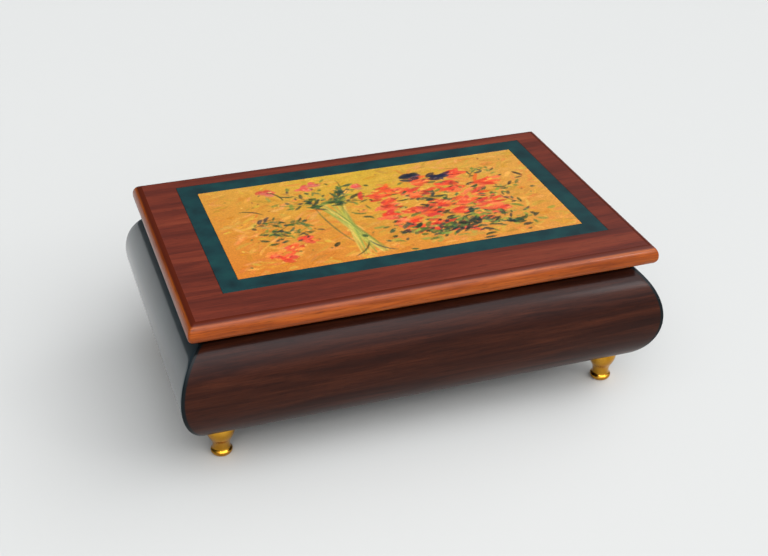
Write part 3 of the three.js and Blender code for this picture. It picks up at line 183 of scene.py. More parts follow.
# Matt paper: pale and slightly warm, with no highlight of its own.
paper, _ = material("matt_paper", Base_Color=linear("#c9c9c4"), Roughness=0.9)
sheet_mesh.materials.append(paper)

# ---------------------------------------------------------------------------------------------------
# Feet. Four small feet turned from brass bar and polished: a flat base, a waist, and a cup that
# flares up to the case. Each has a shank let into the case and a short locating pin, both glued in.
# ---------------------------------------------------------------------------------------------------


def shaded(shape, crease=35.0):
    """Welds a bmesh, turns its faces out, and marks the edges that stay sharp."""
    bmesh.ops.remove_doubles(shape, verts=shape.verts, dist=0.001 * MM)
    bmesh.ops.recalc_face_normals(shape, faces=shape.faces)
    for face in shape.faces:
        face.smooth = True
    for edge in shape.edges:
        edge.smooth = len(edge.link_faces) == 2 and edge.calc_face_angle(0) < math.radians(crease)


def fitted(name, shape, finish, body, slot, *nodes, crease=35.0, flat=False):
    """Makes a piece from a bmesh. It rides on its body, wears its finish, and stands for CAD pieces. The slot
    is not used.
    """
    shaded(shape, crease)
    mesh = bpy.data.meshes.new(name)
    shape.to_mesh(mesh)
    shape.free()
    mesh.materials.append(finish)
    piece = bpy.data.objects.new(name, mesh)
    bpy.context.scene.collection.objects.link(piece)
    if flat:
        piece.modifiers.new("even_shading", "WEIGHTED_NORMAL").keep_sharp = True
    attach(piece, body)
    if nodes:
        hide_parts(*nodes)
    return piece


def solid(points, faces):
    """A bmesh from points in millimetres."""
    mesh = bpy.data.meshes.new("draft")
    mesh.from_pydata([[c * MM for c in p] for p in points], [], faces)
    shape = bmesh.new()
    shape.from_mesh(mesh)
    bpy.data.meshes.remove(mesh)
    return shape


def turned(profile, x=0.0, y=0.0, sides=64):
    """A shape turned about Z from (radius, height) points that start and end on the axis or close."""
    points = []
    for step in range(sides):
        angle = 2 * math.pi * step / sides
        points += [(x + r * math.cos(angle), y + r * math.sin(angle), z) for r, z in profile]
    count = len(profile)
    faces = []
    for step in range(sides):
        here, there = step * count, (step + 1) % sides * count
        faces += [(here + i, there + i, there + i + 1, here + i + 1) for i in range(count - 1)]
    return solid(points, faces)


def curve(start, first, second, end, steps):
    """Points along a cubic curve, without its start."""
    made = []
    for i in range(1, steps + 1):
        t = i / steps
        shares = ((1 - t) ** 3, 3 * t * (1 - t) ** 2, 3 * t * t * (1 - t), t ** 3)
        made.append(tuple(
            sum(s * p[axis] for s, p in zip(shares, (start, first, second, end))) for axis in (0, 1)
        ))
    return made


def foot_profile(low, high):
    """From the floor up: a rounded base, a waist, a flare that bends out to the cup, and the shank."""
    cup, top = (high.x - low.x) / 2, high.z
    base, neck, shank, stud = 4.6, 3.5, 3.9, 1.4  # radii, and below them heights above the floor
    neck_z, lip_z, collar_z, seat_z = 3.6, 11.6, 15.2, 17.2
    profile = [(0, 0), (base - 1.1, 0), (base - 0.85, 0.12)]
    profile += curve((base - 0.85, 0.12), (base - 0.1, 0.8), (base + 0.1, 1.9), (base - 0.5, 2.3), 10)
    profile += curve((base - 0.5, 2.3), (neck + 0.2, 2.7), (neck, 3.0), (neck, neck_z), 8)
    profile += curve((neck, neck_z), (neck, neck_z + 4), (cup - 0.6, neck_z + 4), (cup, lip_z), 24)
    profile += curve((cup, lip_z), (cup, 14.0), (5.2, 14.9), (shank, collar_z), 10)
    profile += [(shank, seat_z), (stud, seat_z), (stud, top - 0.3), (stud - 0.3, top), (0, top)]
    return profile


def patches(tree, size, detail=3.0, distortion=0.0):
    """Soft random patches through a material, their size in millimetres."""
    where = add(tree, "TexCoord").node.outputs["Object"]
    return add(tree, "TexNoise", {
        "Vector": where, "Scale": 1 / (size * MM), "Detail": detail, "Distortion": distortion,
    })


def clouded(shader, size, stops, detail=3.0, distortion=0.0):
    """Colours a material in soft patches, their size in millimetres, and returns the patches."""
    tree = shader.id_data
    cloud = patches(tree, size, detail, distortion)
    tree.links.new(add(tree, "ValToRGB", {"Fac": cloud}, stops=stops), shader.inputs["Base Color"])
    return cloud


def worn(shader, pattern, least, most):
    """Lets a material's roughness follow a pattern."""
    tree = shader.id_data
    rough = add(tree, "MapRange", {"Value": pattern, "To Min": least, "To Max": most})
    tree.links.new(rough, shader.inputs["Roughness"])


# Polished brass: a warm yellow mirror, duller in small patches where it has been wiped and handled.
brass, shader = material("polished_brass", Metallic=1.0, Roughness=0.16)
clouded(shader, 4, [(0.3, "#b98124"), (0.7, "#d09a38")])
worn(shader, patches(shader.id_data, 0.8, 4.0), 0.1, 0.26)

for place in ("front_left", "front_right", "rear_left", "rear_right"):
    low, high = span("foot_" + place)
    shape = turned(foot_profile(low, high), (low.x + high.x) / 2, (low.y + high.y) / 2, 96)
    fitted("turned_foot_" + place, shape, brass, "case", "polished_brass", "foot_" + place, crease=50)

# ---------------------------------------------------------------------------------------------------
# Front and rear panels. Bombe boards, swelling from the underside and drawing in again to the rim,
# faced with dark walnut veneer whose grain runs along the box, under a half-gloss lacquer.
# ---------------------------------------------------------------------------------------------------

out_x = span("right_end_panel")[1].x
in_x = span("right_end_panel")[0].x
out_y = round(span("rear_panel")[1].y, 1)
in_y = round(span("rear_panel")[0].y, 1)
panel_top = span("front_panel")[1].z
wall = out_x - in_x
widest_z = 39.5
belly_reach, belly_height = 20.0, 24.0
shoulder_reach = 10.0
shoulder_height = panel_top - widest_z
shoulder_radius = (shoulder_reach ** 2 + shoulder_height ** 2) / (2 * shoulder_reach)


def panel_curve():
    """The outer face, from the underside to the top edge: distance out from the inner face, height,
    and the outward direction."""
    made = []
    start = -math.acos((belly_reach - wall) / belly_reach)
    for i in range(41):
        angle = start * (1 - i / 40)
        across = wall - belly_reach + belly_reach * math.cos(angle)
        normal = Vector((math.cos(angle) / belly_reach, math.sin(angle) / belly_height)).normalized()
        made.append((across, widest_z + belly_height * math.sin(angle), normal.x, normal.y))
    end = math.asin(shoulder_height / shoulder_radius)
    for i in range(1, 25):
        angle = end * i / 24
        across = wall - shoulder_radius + shoulder_radius * math.cos(angle)
        made.append((across, widest_z + shoulder_radius * math.sin(angle), math.cos(angle), math.sin(angle)))
    return made


def stations_along(straight):
    """Where a mitred piece's sections stand: (end or share of its length, degrees round the corner)."""
    turns = (15, 30, 45)
    middle = [(s, 0) for s in np.linspace(-1, 1, straight)]
    return [(-1, t) for t in reversed(turns)] + middle + [(1, t) for t in turns]


def sleeve(rings, count):
    """The faces over rings of points, closed round each ring and capped at both ends."""
    faces = []
    for here in range(0, (rings - 1) * count, count):
        for i in range(count):
            j = (i + 1) % count
            faces.append((here + i, here + count + i, here + count + j, here + j))
    last = (rings - 1) * count
    return faces + [tuple(range(count)), tuple(last + i for i in reversed(range(count)))]


def bombe_panel(along, across, turn, seed):
    """One panel, mitred at both ends, with eased corners and the faint waves of a veneered face."""
    ease, glue = 0.5, 0.11
    stations = stations_along(49)
    face = panel_curve()
    points = []
    for place, corner in stations:
        for out, z, n_out, n_up in face:
            radius = ease * max(n_out, 0)
            reach = along + out - glue - radius
            x = place * reach
            if corner:
                x = place * (reach + radius * math.sin(math.radians(corner)))
            wave = 0.09 * (noise.noise(Vector((x / 45, z / 30, seed))) - 0.6)
            inward = radius * (1 - math.cos(math.radians(corner))) - wave
            points.append((x, -(across + out - n_out * inward), z - n_up * inward))
        x = place * (along - glue)
        points.append((x, -across, face[-1][1]))
        points.append((x, -across, face[0][1]))
    shape = solid(points, sleeve(len(stations), len(face) + 2))
    bmesh.ops.rotate(shape, verts=shape.verts, cent=(0, 0, 0), matrix=Matrix.Rotation(turn, 3, "Z"))
    return shape


def carved(shape, *cutters):
    """A bmesh with other shapes cut out of it."""
    meshes = []
    for source in (shape, *cutters):
        bmesh.ops.remove_doubles(source, verts=source.verts, dist=0.001 * MM)
        bmesh.ops.recalc_face_normals(source, faces=source.faces)
        mesh = bpy.data.meshes.new("carving")
        source.to_mesh(mesh)
        source.free()
        holder = bpy.data.objects.new("carving", mesh)
        bpy.context.scene.collection.objects.link(holder)
        meshes.append(holder)
    for tool in meshes[1:]:
        cut = meshes[0].modifiers.new("cut", "BOOLEAN")
        cut.object = tool
        cut.solver = "MANIFOLD"
    bpy.context.view_layer.update()
    done = bmesh.new()
    done.from_object(meshes[0], bpy.context.evaluated_depsgraph_get())
    for holder in meshes:
        bpy.data.objects.remove(holder)
    return done


def seated(panel):
    """A panel with the shank seats and pin holes of the feet under it bored up into it."""
    seat, pin, seat_top = 4.2, 1.7, 17.5
    near = 4  # a foot this close to the panel is seated in it
    clear = 0.03  # keeps a bore's edges off the panel's own planes
    least = [min(p.co[axis] for p in panel.verts) / MM - near for axis in (0, 1)]
    most = [max(p.co[axis] for p in panel.verts) / MM + near for axis in (0, 1)]
    bores = []
    for place in ("front_left", "front_right", "rear_left", "rear_right"):
        low, high = span("foot_" + place)
        end = high.z + 0.3
        bore = [(0, 5), (seat, 5), (seat, seat_top), (pin, seat_top), (pin, end), (0, end)]
        middle = (low + high) / 2
        if all(least[axis] < middle[axis] < most[axis] for axis in (0, 1)):
            bores.append(turned(bore, middle.x + clear, middle.y + clear, 47))
    return carved(panel, *bores)


def varied(tree, colour, pattern, darkest, lightest):
    """A colour made darker and lighter by a pattern."""
    share = add(tree, "MapRange", {
        "Value": pattern, "From Min": 0.3, "From Max": 0.7, "To Min": darkest, "To Max": lightest,
    })
    mix = add(tree, "Mix", {0: 1.0, 6: colour, 7: share}, data_type="RGBA", blend_type="MULTIPLY")
    return mix.node.outputs[2]


def blended(tree, share, under, over):
    """One colour laid over another."""
    return add(tree, "Mix", {0: share, 6: under, 7: over}, data_type="RGBA").node.outputs[2]


def embossed(shader, height, strength, depth, invert=False):
    """Raises a pattern from a material, or sinks it, by a depth in millimetres."""
    tree = shader.id_data
    relief = {"Height": height, "Strength": strength, "Distance": depth * MM}
    tree.links.new(add(tree, "Bump", relief, invert=invert), shader.inputs["Normal"])


def wood(name, stops, along, band, fibre, pore_colour, rough=0.35, coat=0.6, sheen_of=0.08, body_gloss=0.15):
    """Lacquered wood with its grain along an axis. Band and fibre are widths in millimetres."""
    made, shader = material(
        name, Roughness=rough, Specular_IOR_Level=body_gloss,
        Coat_Weight=coat, Coat_Roughness=sheen_of, Coat_IOR=1.45,
    )
    tree = made.node_tree
    where = add(tree, "TexCoord").node.outputs["Object"]
    axis = "XYZ".index(along)

    def stretched(length, width):
        scale = [1 / (width * MM)] * 3
        scale[axis] = 1 / (length * MM)
        return add(tree, "Mapping", {"Vector": where, "Scale": scale})

    figure = add(tree, "TexNoise", {
        "Vector": stretched(band * 14, band), "Scale": 1.0, "Detail": 4.0, "Roughness": 0.55,
        "Distortion": 0.6,
    })
    colour = add(tree, "ValToRGB", {"Fac": figure}, stops=stops)
    fibres = add(tree, "TexNoise", {
        "Vector": stretched(fibre * 30, fibre), "Scale": 1.0, "Detail": 2.0, "Roughness": 0.6,
    })
    toned = varied(tree, colour, fibres, 0.72, 1.18)
    pores = add(tree, "TexNoise", {
        "Vector": stretched(fibre * 9, fibre * 0.7), "Scale": 1.0, "Detail": 1.0,
    })
    mask = add(tree, "MapRange", {"Value": pores, "From Min": 0.6, "From Max": 0.72, "To Max": 0.5})
    final = blended(tree, mask, toned, linear(pore_colour))
    tree.links.new(final, shader.inputs["Base Color"])
    embossed(shader, mask, 0.25, 0.02, invert=True)
    return made, shader, final


# Walnut veneer under half-gloss lacquer: dark brown bands, open pores and a soft highlight. Its mitred
# ends carry the black of the end panels round the corner.
walnut, shader, walnut_colour = wood(
    "walnut_veneer_half_gloss",
    [(0.25, "#210b05"), (0.42, "#2b1007"), (0.55, "#35160a"), (0.75, "#421e0f")],
    "X", band=3.5, fibre=0.4, pore_colour="#160805", coat=0.22, sheen_of=0.14, body_gloss=0.04,
)
tree = walnut.node_tree
where = add(tree, "TexCoord").node.outputs["Object"]
split = add(tree, "SeparateXYZ", {0: where}).node
side_x = add(tree, "Math", {0: split.outputs["X"]}, operation="ABSOLUTE")
side_y = add(tree, "Math", {0: split.outputs["Y"]}, operation="ABSOLUTE")
to_corner = add(tree, "Math", {0: side_y, 1: (out_x - out_y) * MM}, operation="ADD")
to_corner = add(tree, "Math", {0: to_corner, 1: side_x}, operation="SUBTRACT")
edge = add(tree, "MapRange", {
    "Value": to_corner, "From Min": 1.3 * MM, "From Max": 1.7 * MM, "To Min": 1.0, "To Max": 0.0,
})
tree.links.new(blended(tree, edge, walnut_colour, linear("#0a1214")), shader.inputs["Base Color"])

for side, turn, seed in (("front", 0, 3.1), ("rear", math.pi, 8.4)):
    panel = seated(bombe_panel(in_x, in_y, turn, seed))
    fitted(f"walnut_{side}_panel", panel, walnut, "case", "walnut_veneer", side + "_panel")

# ---------------------------------------------------------------------------------------------------
# End panels. The same bombe section across the box's ends, finished in a near-black gloss lacquer
# with a teal cast, polished so that it mirrors whatever pale surface the box stands on.
# ---------------------------------------------------------------------------------------------------

# Gloss lacquer: near black with a teal cast, a hard clear coat and very slight clouds.
end_lacquer, shader = material(
    "black_teal_gloss_lacquer", Roughness=0.3, Specular_IOR_Level=0.2, Coat_Weight=0.75, Coat_Roughness=0.06,
)
clouded(shader, 30, [(0.3, "#0a1a20"), (0.7, "#13282f")])
quarter = math.pi / 2
for side, turn, seed in (("right", quarter, 5.2), ("left", -quarter, 1.7)):
    panel = seated(bombe_panel(in_y, in_x, turn, seed))
    fitted(f"lacquered_{side}_end", panel, end_lacquer, "case", "end_lacquer", side + "_end_panel")

# ---------------------------------------------------------------------------------------------------
# Rim, bottom board and battens. A black frame sits on the four panels and takes the hinges. A plain
# stained board closes the case below, and two battens on the case's walls carry the movement's cover.
# ---------------------------------------------------------------------------------------------------


def softened(node, ease, finish, slot, crease=30.0, sides=2):
    """A finished copy of a CAD piece, with its arrises eased by a radius in millimetres."""
    shape = bmesh.new()
    shape.from_mesh(frame["nodes"][node].data)
    bmesh.ops.remove_doubles(shape, verts=shape.verts, dist=0.002 * MM)
    bmesh.ops.dissolve_limit(shape, angle_limit=math.radians(0.5), verts=shape.verts, edges=shape.edges)
    limit = math.radians(crease)
    arrises = [e for e in shape.edges if len(e.link_faces) == 2 and e.calc_face_angle(0) > limit]
    bmesh.ops.bevel(
        shape, geom=arrises, offset=ease * MM, offset_type="OFFSET", segments=sides, profile=0.5,
        affect="EDGES", clamp_overlap=True,
    )
    body = frame["nodes"][node]["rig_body"]
    return fitted(node + "_finished", shape, finish, body, slot, node, crease=crease + 10, flat=True)


# Satin paint: flat black with a broad dull highlight.
black_paint, _ = material("black_satin_paint", Base_Color=linear("#0a0908"), Roughness=0.45)
softened("rim_frame", 0.3, black_paint, "black_paint")
# Stained board: unlacquered brown wood, open-grained and dull.
board, _, _ = wood(
    "stained_board", [(0.3, "#2a1c14"), (0.7, "#463024")], "X", band=6.0, fibre=0.6,
    pore_colour="#1c120c", rough=0.6, coat=0.0,
)
for node in ("bottom_board", "cover_batten_front", "cover_batten_rear"):
    softened(node, 0.3, board, "raw_board")

# ---------------------------------------------------------------------------------------------------
# Compartment lining, partition and divider. A thin card tray covered in burgundy velvet lines the left
# part of the case. The board between it and the movement, and the strip beside the rolls, match it.
# ---------------------------------------------------------------------------------------------------

# Cotton velvet. Its upright pile is dark to look into and pale where it turns away, with soft bruises.
velvet, shader = material(
    "burgundy_velvet", Roughness=0.95, Specular_IOR_Level=0.1,
    Sheen_Weight=0.7, Sheen_Roughness=0.35, Sheen_Tint=linear("#d0506a"),
)
tree = velvet.node_tree
tone = add(tree, "ValToRGB", {"Fac": patches(tree, 11)}, stops=[
    (0.3, "#4e0b1a"), (0.55, "#5a0f1f"), (0.75, "#681426"),
])
pile = patches(tree, 0.45, 2.0)  # drawn coarser than real pile, which would be too fine to show
tree.links.new(varied(tree, tone, pile, 0.75, 1.15), shader.inputs["Base Color"])
embossed(shader, pile, 0.5, 0.15)

softened("compartment_lining", 0.3, velvet, "velvet")
softened("partition_board", 0.6, velvet, "velvet")
softened("roll_divider", 0.5, velvet, "velvet")

# ---------------------------------------------------------------------------------------------------
# Ring rolls and well pad. Four long foam rolls wrapped in the velvet stand side by side, so that rings
# are held between them, and a thin wadded pad lies in the well beside them.
# ---------------------------------------------------------------------------------------------------


def stuffed(node, draft, voxel, cap):
    """Blows a slightly small shape up inside the CAD piece's box, as wadding fills its cover."""
    low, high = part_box(node)
    body = frame["nodes"][node]["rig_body"]
    piece = fitted(node + "_stuffed", draft, velvet, body, "velvet", node, crease=80)
    piece.modifiers.new("even_faces", "REMESH").voxel_size = voxel * MM
    with_faces = bpy.data.meshes.new_from_object(piece.evaluated_get(bpy.context.evaluated_depsgraph_get()))
    piece.modifiers.clear()
    piece.data = with_faces
    count = len(with_faces.vertices)
    start = np.empty(count * 3)
    with_faces.vertices.foreach_get("co", start)
    start = start.reshape(-1, 3)
    normals = np.array([v.normal for v in with_faces.vertices])
    end = start + normals * cap * 0.6 * MM
    cloth = piece.modifiers.new("wadding", "CLOTH")
    cloth.settings.use_pressure = True
    cloth.settings.uniform_pressure_force = 4
    cloth.settings.quality = 4
    cloth.settings.effector_weights.gravity = 0
    for step in range(1, 21):
        bpy.context.scene.frame_set(step)
    blown = piece.evaluated_get(bpy.context.evaluated_depsgraph_get()).to_mesh()
    end = np.array([v.co for v in blown.vertices])
    piece.modifiers.clear()
    bpy.context.scene.frame_set(1)
    way = end - start
    far = np.linalg.norm(way, axis=1, keepdims=True)
    end = start + way * np.minimum(1, cap * MM / np.maximum(far, 1e-9))
    pucker = np.array([noise.noise(Vector(p) / (5 * MM)) for p in end])
    end += normals * (pucker * 0.25 - 0.1)[:, None] * MM
    end = np.clip(end, np.array(low) + 0.05 * MM, np.array(high) - 0.05 * MM)
    with_faces.vertices.foreach_set("co", end.ravel())
    with_faces.shade_smooth()
    with_faces.materials.clear()
    with_faces.materials.append(velvet)
    piece.modifiers.new("fine", "SUBSURF").levels = 1
    piece.modifiers["fine"].render_levels = 1
    return piece


def roll_draft(node):
    """A D-shaped bar, flat below and round above, whose ends are gathered in."""
    low, high = span(node)
    middle, half = (low.x + high.x) / 2, (high.x - low.x) / 2 - 0.5
    top_z = high.z - 0.6 - half
    outline = [(-half, low.z + 0.4), (half, low.z + 0.4)]
    for i in range(13):
        angle = math.pi * i / 12
        outline.append((half * math.cos(angle), top_z + half * math.sin(angle)))
    centre_z = (low.z + high.z) / 2
    rings = []
    for y, size in ((low.y + 0.3, 0.78), (low.y + 1.4, 0.95), (high.y - 1.4, 0.95), (high.y - 0.3, 0.78)):
        rings.append([(middle + x * size, y, centre_z + (z - centre_z) * size) for x, z in outline])
    count = len(outline)
    points = [p for ring in rings for p in ring]
    faces = [
        (r * count + i, r * count + (i + 1) % count, (r + 1) * count + (i + 1) % count, (r + 1) * count + i)
        for r in range(3) for i in range(count)
    ]
    faces += [tuple(reversed(range(count))), tuple(range(3 * count, 4 * count))]
    return solid(points, faces)


for number in range(1, 5):
    node = f"ring_roll_{number}"
    stuffed(node, roll_draft(node), voxel=2.0, cap=2.0)


def slab(low, high):
    """A block between two corners in millimetres."""
    x0, y0, z0 = low
    x1, y1, z1 = high
    corners = [(x0, y0), (x1, y0), (x1, y1), (x0, y1)]
    points = [(x, y, z) for z in (z0, z1) for x, y in corners]
    faces = [(3, 2, 1, 0), (4, 5, 6, 7)] + [(i, (i + 1) % 4, (i + 1) % 4 + 4, i + 4) for i in range(4)]
    return solid(points, faces)


low, high = span("well_pad")
inset = Vector((0.6, 0.6, 0.2))
stuffed("well_pad", slab(low + inset, high - inset), voxel=1.1, cap=0.6)

# ---------------------------------------------------------------------------------------------------
# Bedplate. The movement's base, a pressure casting with posts for the bearings and the comb. It is
# screwed down through the bottom board.
# ---------------------------------------------------------------------------------------------------

# Bright-plated zinc casting: a pale metal that is slightly pebbled, so that its highlights break up.
casting, shader = material("plated_zinc_casting", Metallic=1.0, Roughness=0.36)
pebble = clouded(shader, 0.6, [(0.3, "#9a9c9e"), (0.7, "#b4b6b8")])
embossed(shader, pebble, 0.3, 0.05)
softened("bedplate", 0.25, casting, "bedplate_casting")

# ---------------------------------------------------------------------------------------------------
# Comb. Eighteen steel teeth cut in one plate, tuned by their lengths and ground on top, held to the
# bedplate's ledge by two screws.
# ---------------------------------------------------------------------------------------------------

# Ground tool steel. The wheel leaves fine scratches along the teeth, which smear the light across them.
ground_steel, shader = material("ground_tool_steel", Metallic=1.0, Roughness=0.28, Anisotropic=0.4)
tree = ground_steel.node_tree
where = add(tree, "TexCoord").node.outputs["Object"]
drawn = add(tree, "Mapping", {"Vector": where, "Scale": (1 / (0.15 * MM), 1 / (6 * MM), 1 / (0.15 * MM))})
scratch = add(tree, "TexNoise", {"Vector": drawn, "Scale": 1.0, "Detail": 3.0})
tone = add(tree, "ValToRGB", {"Fac": scratch}, stops=[(0.3, "#8e9194"), (0.7, "#bfc3c7")])
tree.links.new(tone, shader.inputs["Base Color"])
embossed(shader, scratch, 0.2, 0.01)
softened("comb", 0.05, ground_steel, "comb_steel", sides=1)

# Nickel-plated steel: bright and a little warm, dulled in patches where it has been handled.
plated, shader = material("nickel_plated_steel", Metallic=1.0, Roughness=0.2)
cloud = clouded(shader, 1.5, [(0.3, "#a8a59e"), (0.7, "#c9c6bf")])
worn(shader, cloud, 0.14, 0.34)
for node in ("comb_screw_1", "comb_screw_2", "movement_screw_1", "movement_screw_2", "movement_screw_3"):
    softened(node, 0.12, plated, "plated_steel")

# ---------------------------------------------------------------------------------------------------
# Cylinder and its arbor. A thin brass tube set with a fine steel pin for every note, on a steel arbor
# that carries the pinion at the left and the great wheel at the right.
# ---------------------------------------------------------------------------------------------------

cylinder_low, cylinder_high = span("cylinder")
axis_z = 37.11
wall_radius, track_pitch, tracks = 6.5, 1.1, 18


def placed(shape, turn, axis, place):
    """Turns a shape about an axis through the origin and moves it to a place in millimetres."""
    bmesh.ops.rotate(shape, verts=shape.verts, cent=(0, 0, 0), matrix=Matrix.Rotation(turn, 3, axis))
    bmesh.ops.translate(shape, verts=shape.verts, vec=Vector(place) * MM)
    return shape


length = cylinder_high.x - cylinder_low.x
profile = [(1.25, 0.9), (wall_radius - 0.9, 0.9), (wall_radius - 0.9, 0.15), (wall_radius - 0.6, 0)]
profile += [(wall_radius - 0.15, 0), (wall_radius, 0.15)]
profile += [(wall_radius, length - 0.15), (wall_radius - 0.15, length)]
profile += [(wall_radius - 0.6, length), (wall_radius - 0.9, length - 0.15)]
profile += [(wall_radius - 0.9, length - 0.9), (1.25, length - 0.9)]
shape = placed(turned(profile, sides=96), quarter, "Y", (cylinder_low.x, 0, axis_z))
fitted("pinned_cylinder", shape, brass, "cylinder_group", "polished_brass", "cylinder", flat=True)

beats = 48  # places round the cylinder where a pin may stand
tune = np.random.default_rng(12)
points, faces = [], []
for track in range(tracks):
    x = (cylinder_low.x + cylinder_high.x) / 2 + (track - (tracks - 1) / 2) * track_pitch
    for beat in sorted(tune.choice(beats, tune.integers(7, 13), replace=False)):
        angle = 2 * math.pi * beat / beats
        outward = Vector((0, math.cos(angle), math.sin(angle)))
        across = Vector((0, -math.sin(angle), math.cos(angle)))
        first = len(points)
        for rise, thick in ((-0.1, 0.17), (0.5, 0.15), (0.58, 0.08)):
            for i in range(6):
                turn = math.pi * i / 3
                spot = Vector((x, 0, axis_z)) + outward * (wall_radius + rise)
                points.append(spot + (Vector((1, 0, 0)) * math.cos(turn) + across * math.sin(turn)) * thick)
        for ring in (0, 6):
            for i in range(6):
                j = (i + 1) % 6
                faces.append((first + ring + i, first + ring + j, first + ring + 6 + j, first + ring + 6 + i))
        faces += [tuple(first + 12 + i for i in range(6)), tuple(first + i for i in reversed(range(6)))]
fitted("cylinder_pins", solid(points, faces), plated, "cylinder_group", "plated_steel")


def spindle(node, radius, body):
    """A plain steel arbor the length of its CAD piece, with chamfered ends."""
    low, high = span(node)
    long, chamfer = high.x - low.x, 0.25
    profile = [(0, 0), (radius - chamfer, 0), (radius, chamfer), (radius, long - chamfer)]
    profile += [(radius - chamfer, long), (0, long)]
    centre = (low + high) / 2
    shape = placed(turned(profile, sides=40), quarter, "Y", (low.x, centre.y, centre.z))
    fitted(node + "_finished", shape, plated, body, "plated_steel", node, flat=True)


spindle("cylinder_arbor", 1.2, "cylinder_group")
for node in ("drive_pinion", "great_wheel"):
    softened(node, 0.05, brass, "polished_brass", sides=1)
for node in ("bearing_cap_left", "bearing_cap_right"):
    softened(node, 0.15, plated, "plated_steel")

# ---------------------------------------------------------------------------------------------------
# Spring barrel. A flat brass drum with teeth round its rim that drive the cylinder, closed below by a
# snapped-in cap. A blued steel spring is coiled inside.
# ---------------------------------------------------------------------------------------------------

# Blued spring steel: dark slate with an oily gloss.
spring_steel, shader = material("blued_spring_steel", Metallic=1.0, Roughness=0.3)
clouded(shader, 2, [(0.3, "#3c4450"), (0.7, "#5a6470")], 2.0)
softened("spring_barrel", 0.08, brass, "polished_brass", sides=1)
softened("barrel_cap", 0.1, brass, "polished_brass")
softened("mainspring", 0.03, spring_steel, "spring_steel", sides=1)

# ---------------------------------------------------------------------------------------------------
# Winding gear. A steel arbor runs from the barrel down through a brass bush in the bottom board to a
# winged brass key. A coil spring round it grips one way only, so that the spring can't run back.
# ---------------------------------------------------------------------------------------------------

softened("winding_arbor", 0.12, plated, "plated_steel")
softened("clutch_spring", 0.05, spring_steel, "spring_steel", sides=1)
softened("key_bushing", 0.2, brass, "polished_brass")
softened("winding_key", 0.3, brass, "polished_brass", sides=3)

# ---------------------------------------------------------------------------------------------------
# Governor. The great wheel drives a steel pinion and a moulded nylon worm wheel, which spins an
# upright worm with a two-bladed air fan, so that the tune keeps an even pace.
# ---------------------------------------------------------------------------------------------------

# Moulded nylon, milky and faintly see-through, with a dull moulded surface.
nylon, shader = material(
    "moulded_nylon", Roughness=0.42, Subsurface_Weight=0.2, Subsurface_Radius=(0.001, 0.001, 0.0008),
)
clouded(shader, 3, [(0.3, "#ddd8c8"), (0.7, "#ece8dc")], 2.0)
softened("governor_bracket", 0.15, plated, "plated_steel")
softened("governor_arbor", 0.05, plated, "plated_steel", sides=1)
softened("worm_shaft", 0.04, plated, "plated_steel", sides=1)
softened("worm_wheel", 0.05, nylon, "governor_nylon", sides=1)
softened("fan", 0.1, nylon, "governor_nylon")

# ---------------------------------------------------------------------------------------------------
# Stop. A sprung steel rod stands in a guide and is pushed down by the closed lid. Its felt pad then
# rests against the fan and holds the tune, and it rises and frees the fan as the lid opens.
# ---------------------------------------------------------------------------------------------------

# Pressed wool felt: grey-green, matt, with loose crossing fibres.
felt, shader = material("wool_felt", Roughness=1.0, Specular_IOR_Level=0.1, Sheen_Weight=0.3)
fibres = clouded(shader, 0.3, [(0.3, "#5a6450"), (0.7, "#7c8670")], 4.0, 1.5)
embossed(shader, fibres, 0.6, 0.1)
softened("stop_guide", 0.2, plated, "plated_steel")
softened("stop_rod", 0.1, plated, "plated_steel")
softened("brake_pad", 0.2, felt, "felt")
softened("stop_spring", 0.04, spring_steel, "spring_steel", sides=1)

# ---------------------------------------------------------------------------------------------------
# Movement cover. A clear sheet over the movement, so that it can be watched but not touched. It lies
# on the two battens and is held by four small round-headed screws.
# ---------------------------------------------------------------------------------------------------

# Cast acrylic, clear with polished edges and a trace of green where it is looked through edgeways.
acrylic, shader = material(
    "clear_cast_acrylic", Base_Color=linear("#f4faf6"), Roughness=0.02, IOR=1.49, Transmission_Weight=1.0,
)
tree = acrylic.node_tree
haze = add(tree, "MapRange", {
    "Value": patches(tree, 12), "From Min": 0.4, "From Max": 0.7, "To Min": 0.015, "To Max": 0.05,
})
tree.links.new(haze, shader.inputs["Roughness"])
softened("movement_cover", 0.15, acrylic, "clear_acrylic")


def screw_head(radius, rise, slot_width):
    """A domed head with a driver slot, its seat at height 0, and a shank below."""
    shank, depth = radius * 0.45, -3.5
    profile = [(0, depth), (shank, depth), (shank, 0), (radius - 0.1, 0), (radius, 0.1), (radius, 0.3)]
    profile += curve((radius, 0.3), (radius, rise * 0.8), (radius * 0.6, rise), (0, rise), 8)
    shape = turned(profile, sides=40)
    slot = slab((-radius - 1, -slot_width / 2, rise * 0.45), (radius + 1, slot_width / 2, rise + 1))
    return carved(shape, slot)


cover_low, cover_high = span("movement_cover")
batten_y = (span("cover_batten_rear")[0].y + span("cover_batten_rear")[1].y) / 2
spots = [(x, y) for x in (cover_low.x + 6, cover_high.x - 6) for y in (-batten_y, batten_y)]
for number, (x, y) in enumerate(spots, 1):
    head = screw_head(1.8, 1.1, 0.5)
    placed(head, number * 1.1, "Z", (x, y, cover_high.z))
    fitted(f"cover_screw_{number}", head, plated, "case", "plated_steel")

# ---------------------------------------------------------------------------------------------------
# Lid. A flat board faced with red-brown veneer, with four mitred lippings of orange-brown wood round
# it that are moulded to a bullnose. A teal border is let into the veneer, off the middle, and frames
# the picture. The lippings' top millimetre is painted dark: partly the face veneer running over them,
# partly painted shade standing in for the dark that the lacquered arris reflects.
# ---------------------------------------------------------------------------------------------------

lid_low, lid_high = span("lid_board")
nose_reach, nose_drop, undercut = 3.8, 4.4, 3.0
flat_x = (lid_high.x - lid_low.x) / 2 - nose_reach
flat_y = (lid_high.y - lid_low.y) / 2 - nose_reach
lid_y = (lid_high.y + lid_low.y) / 2


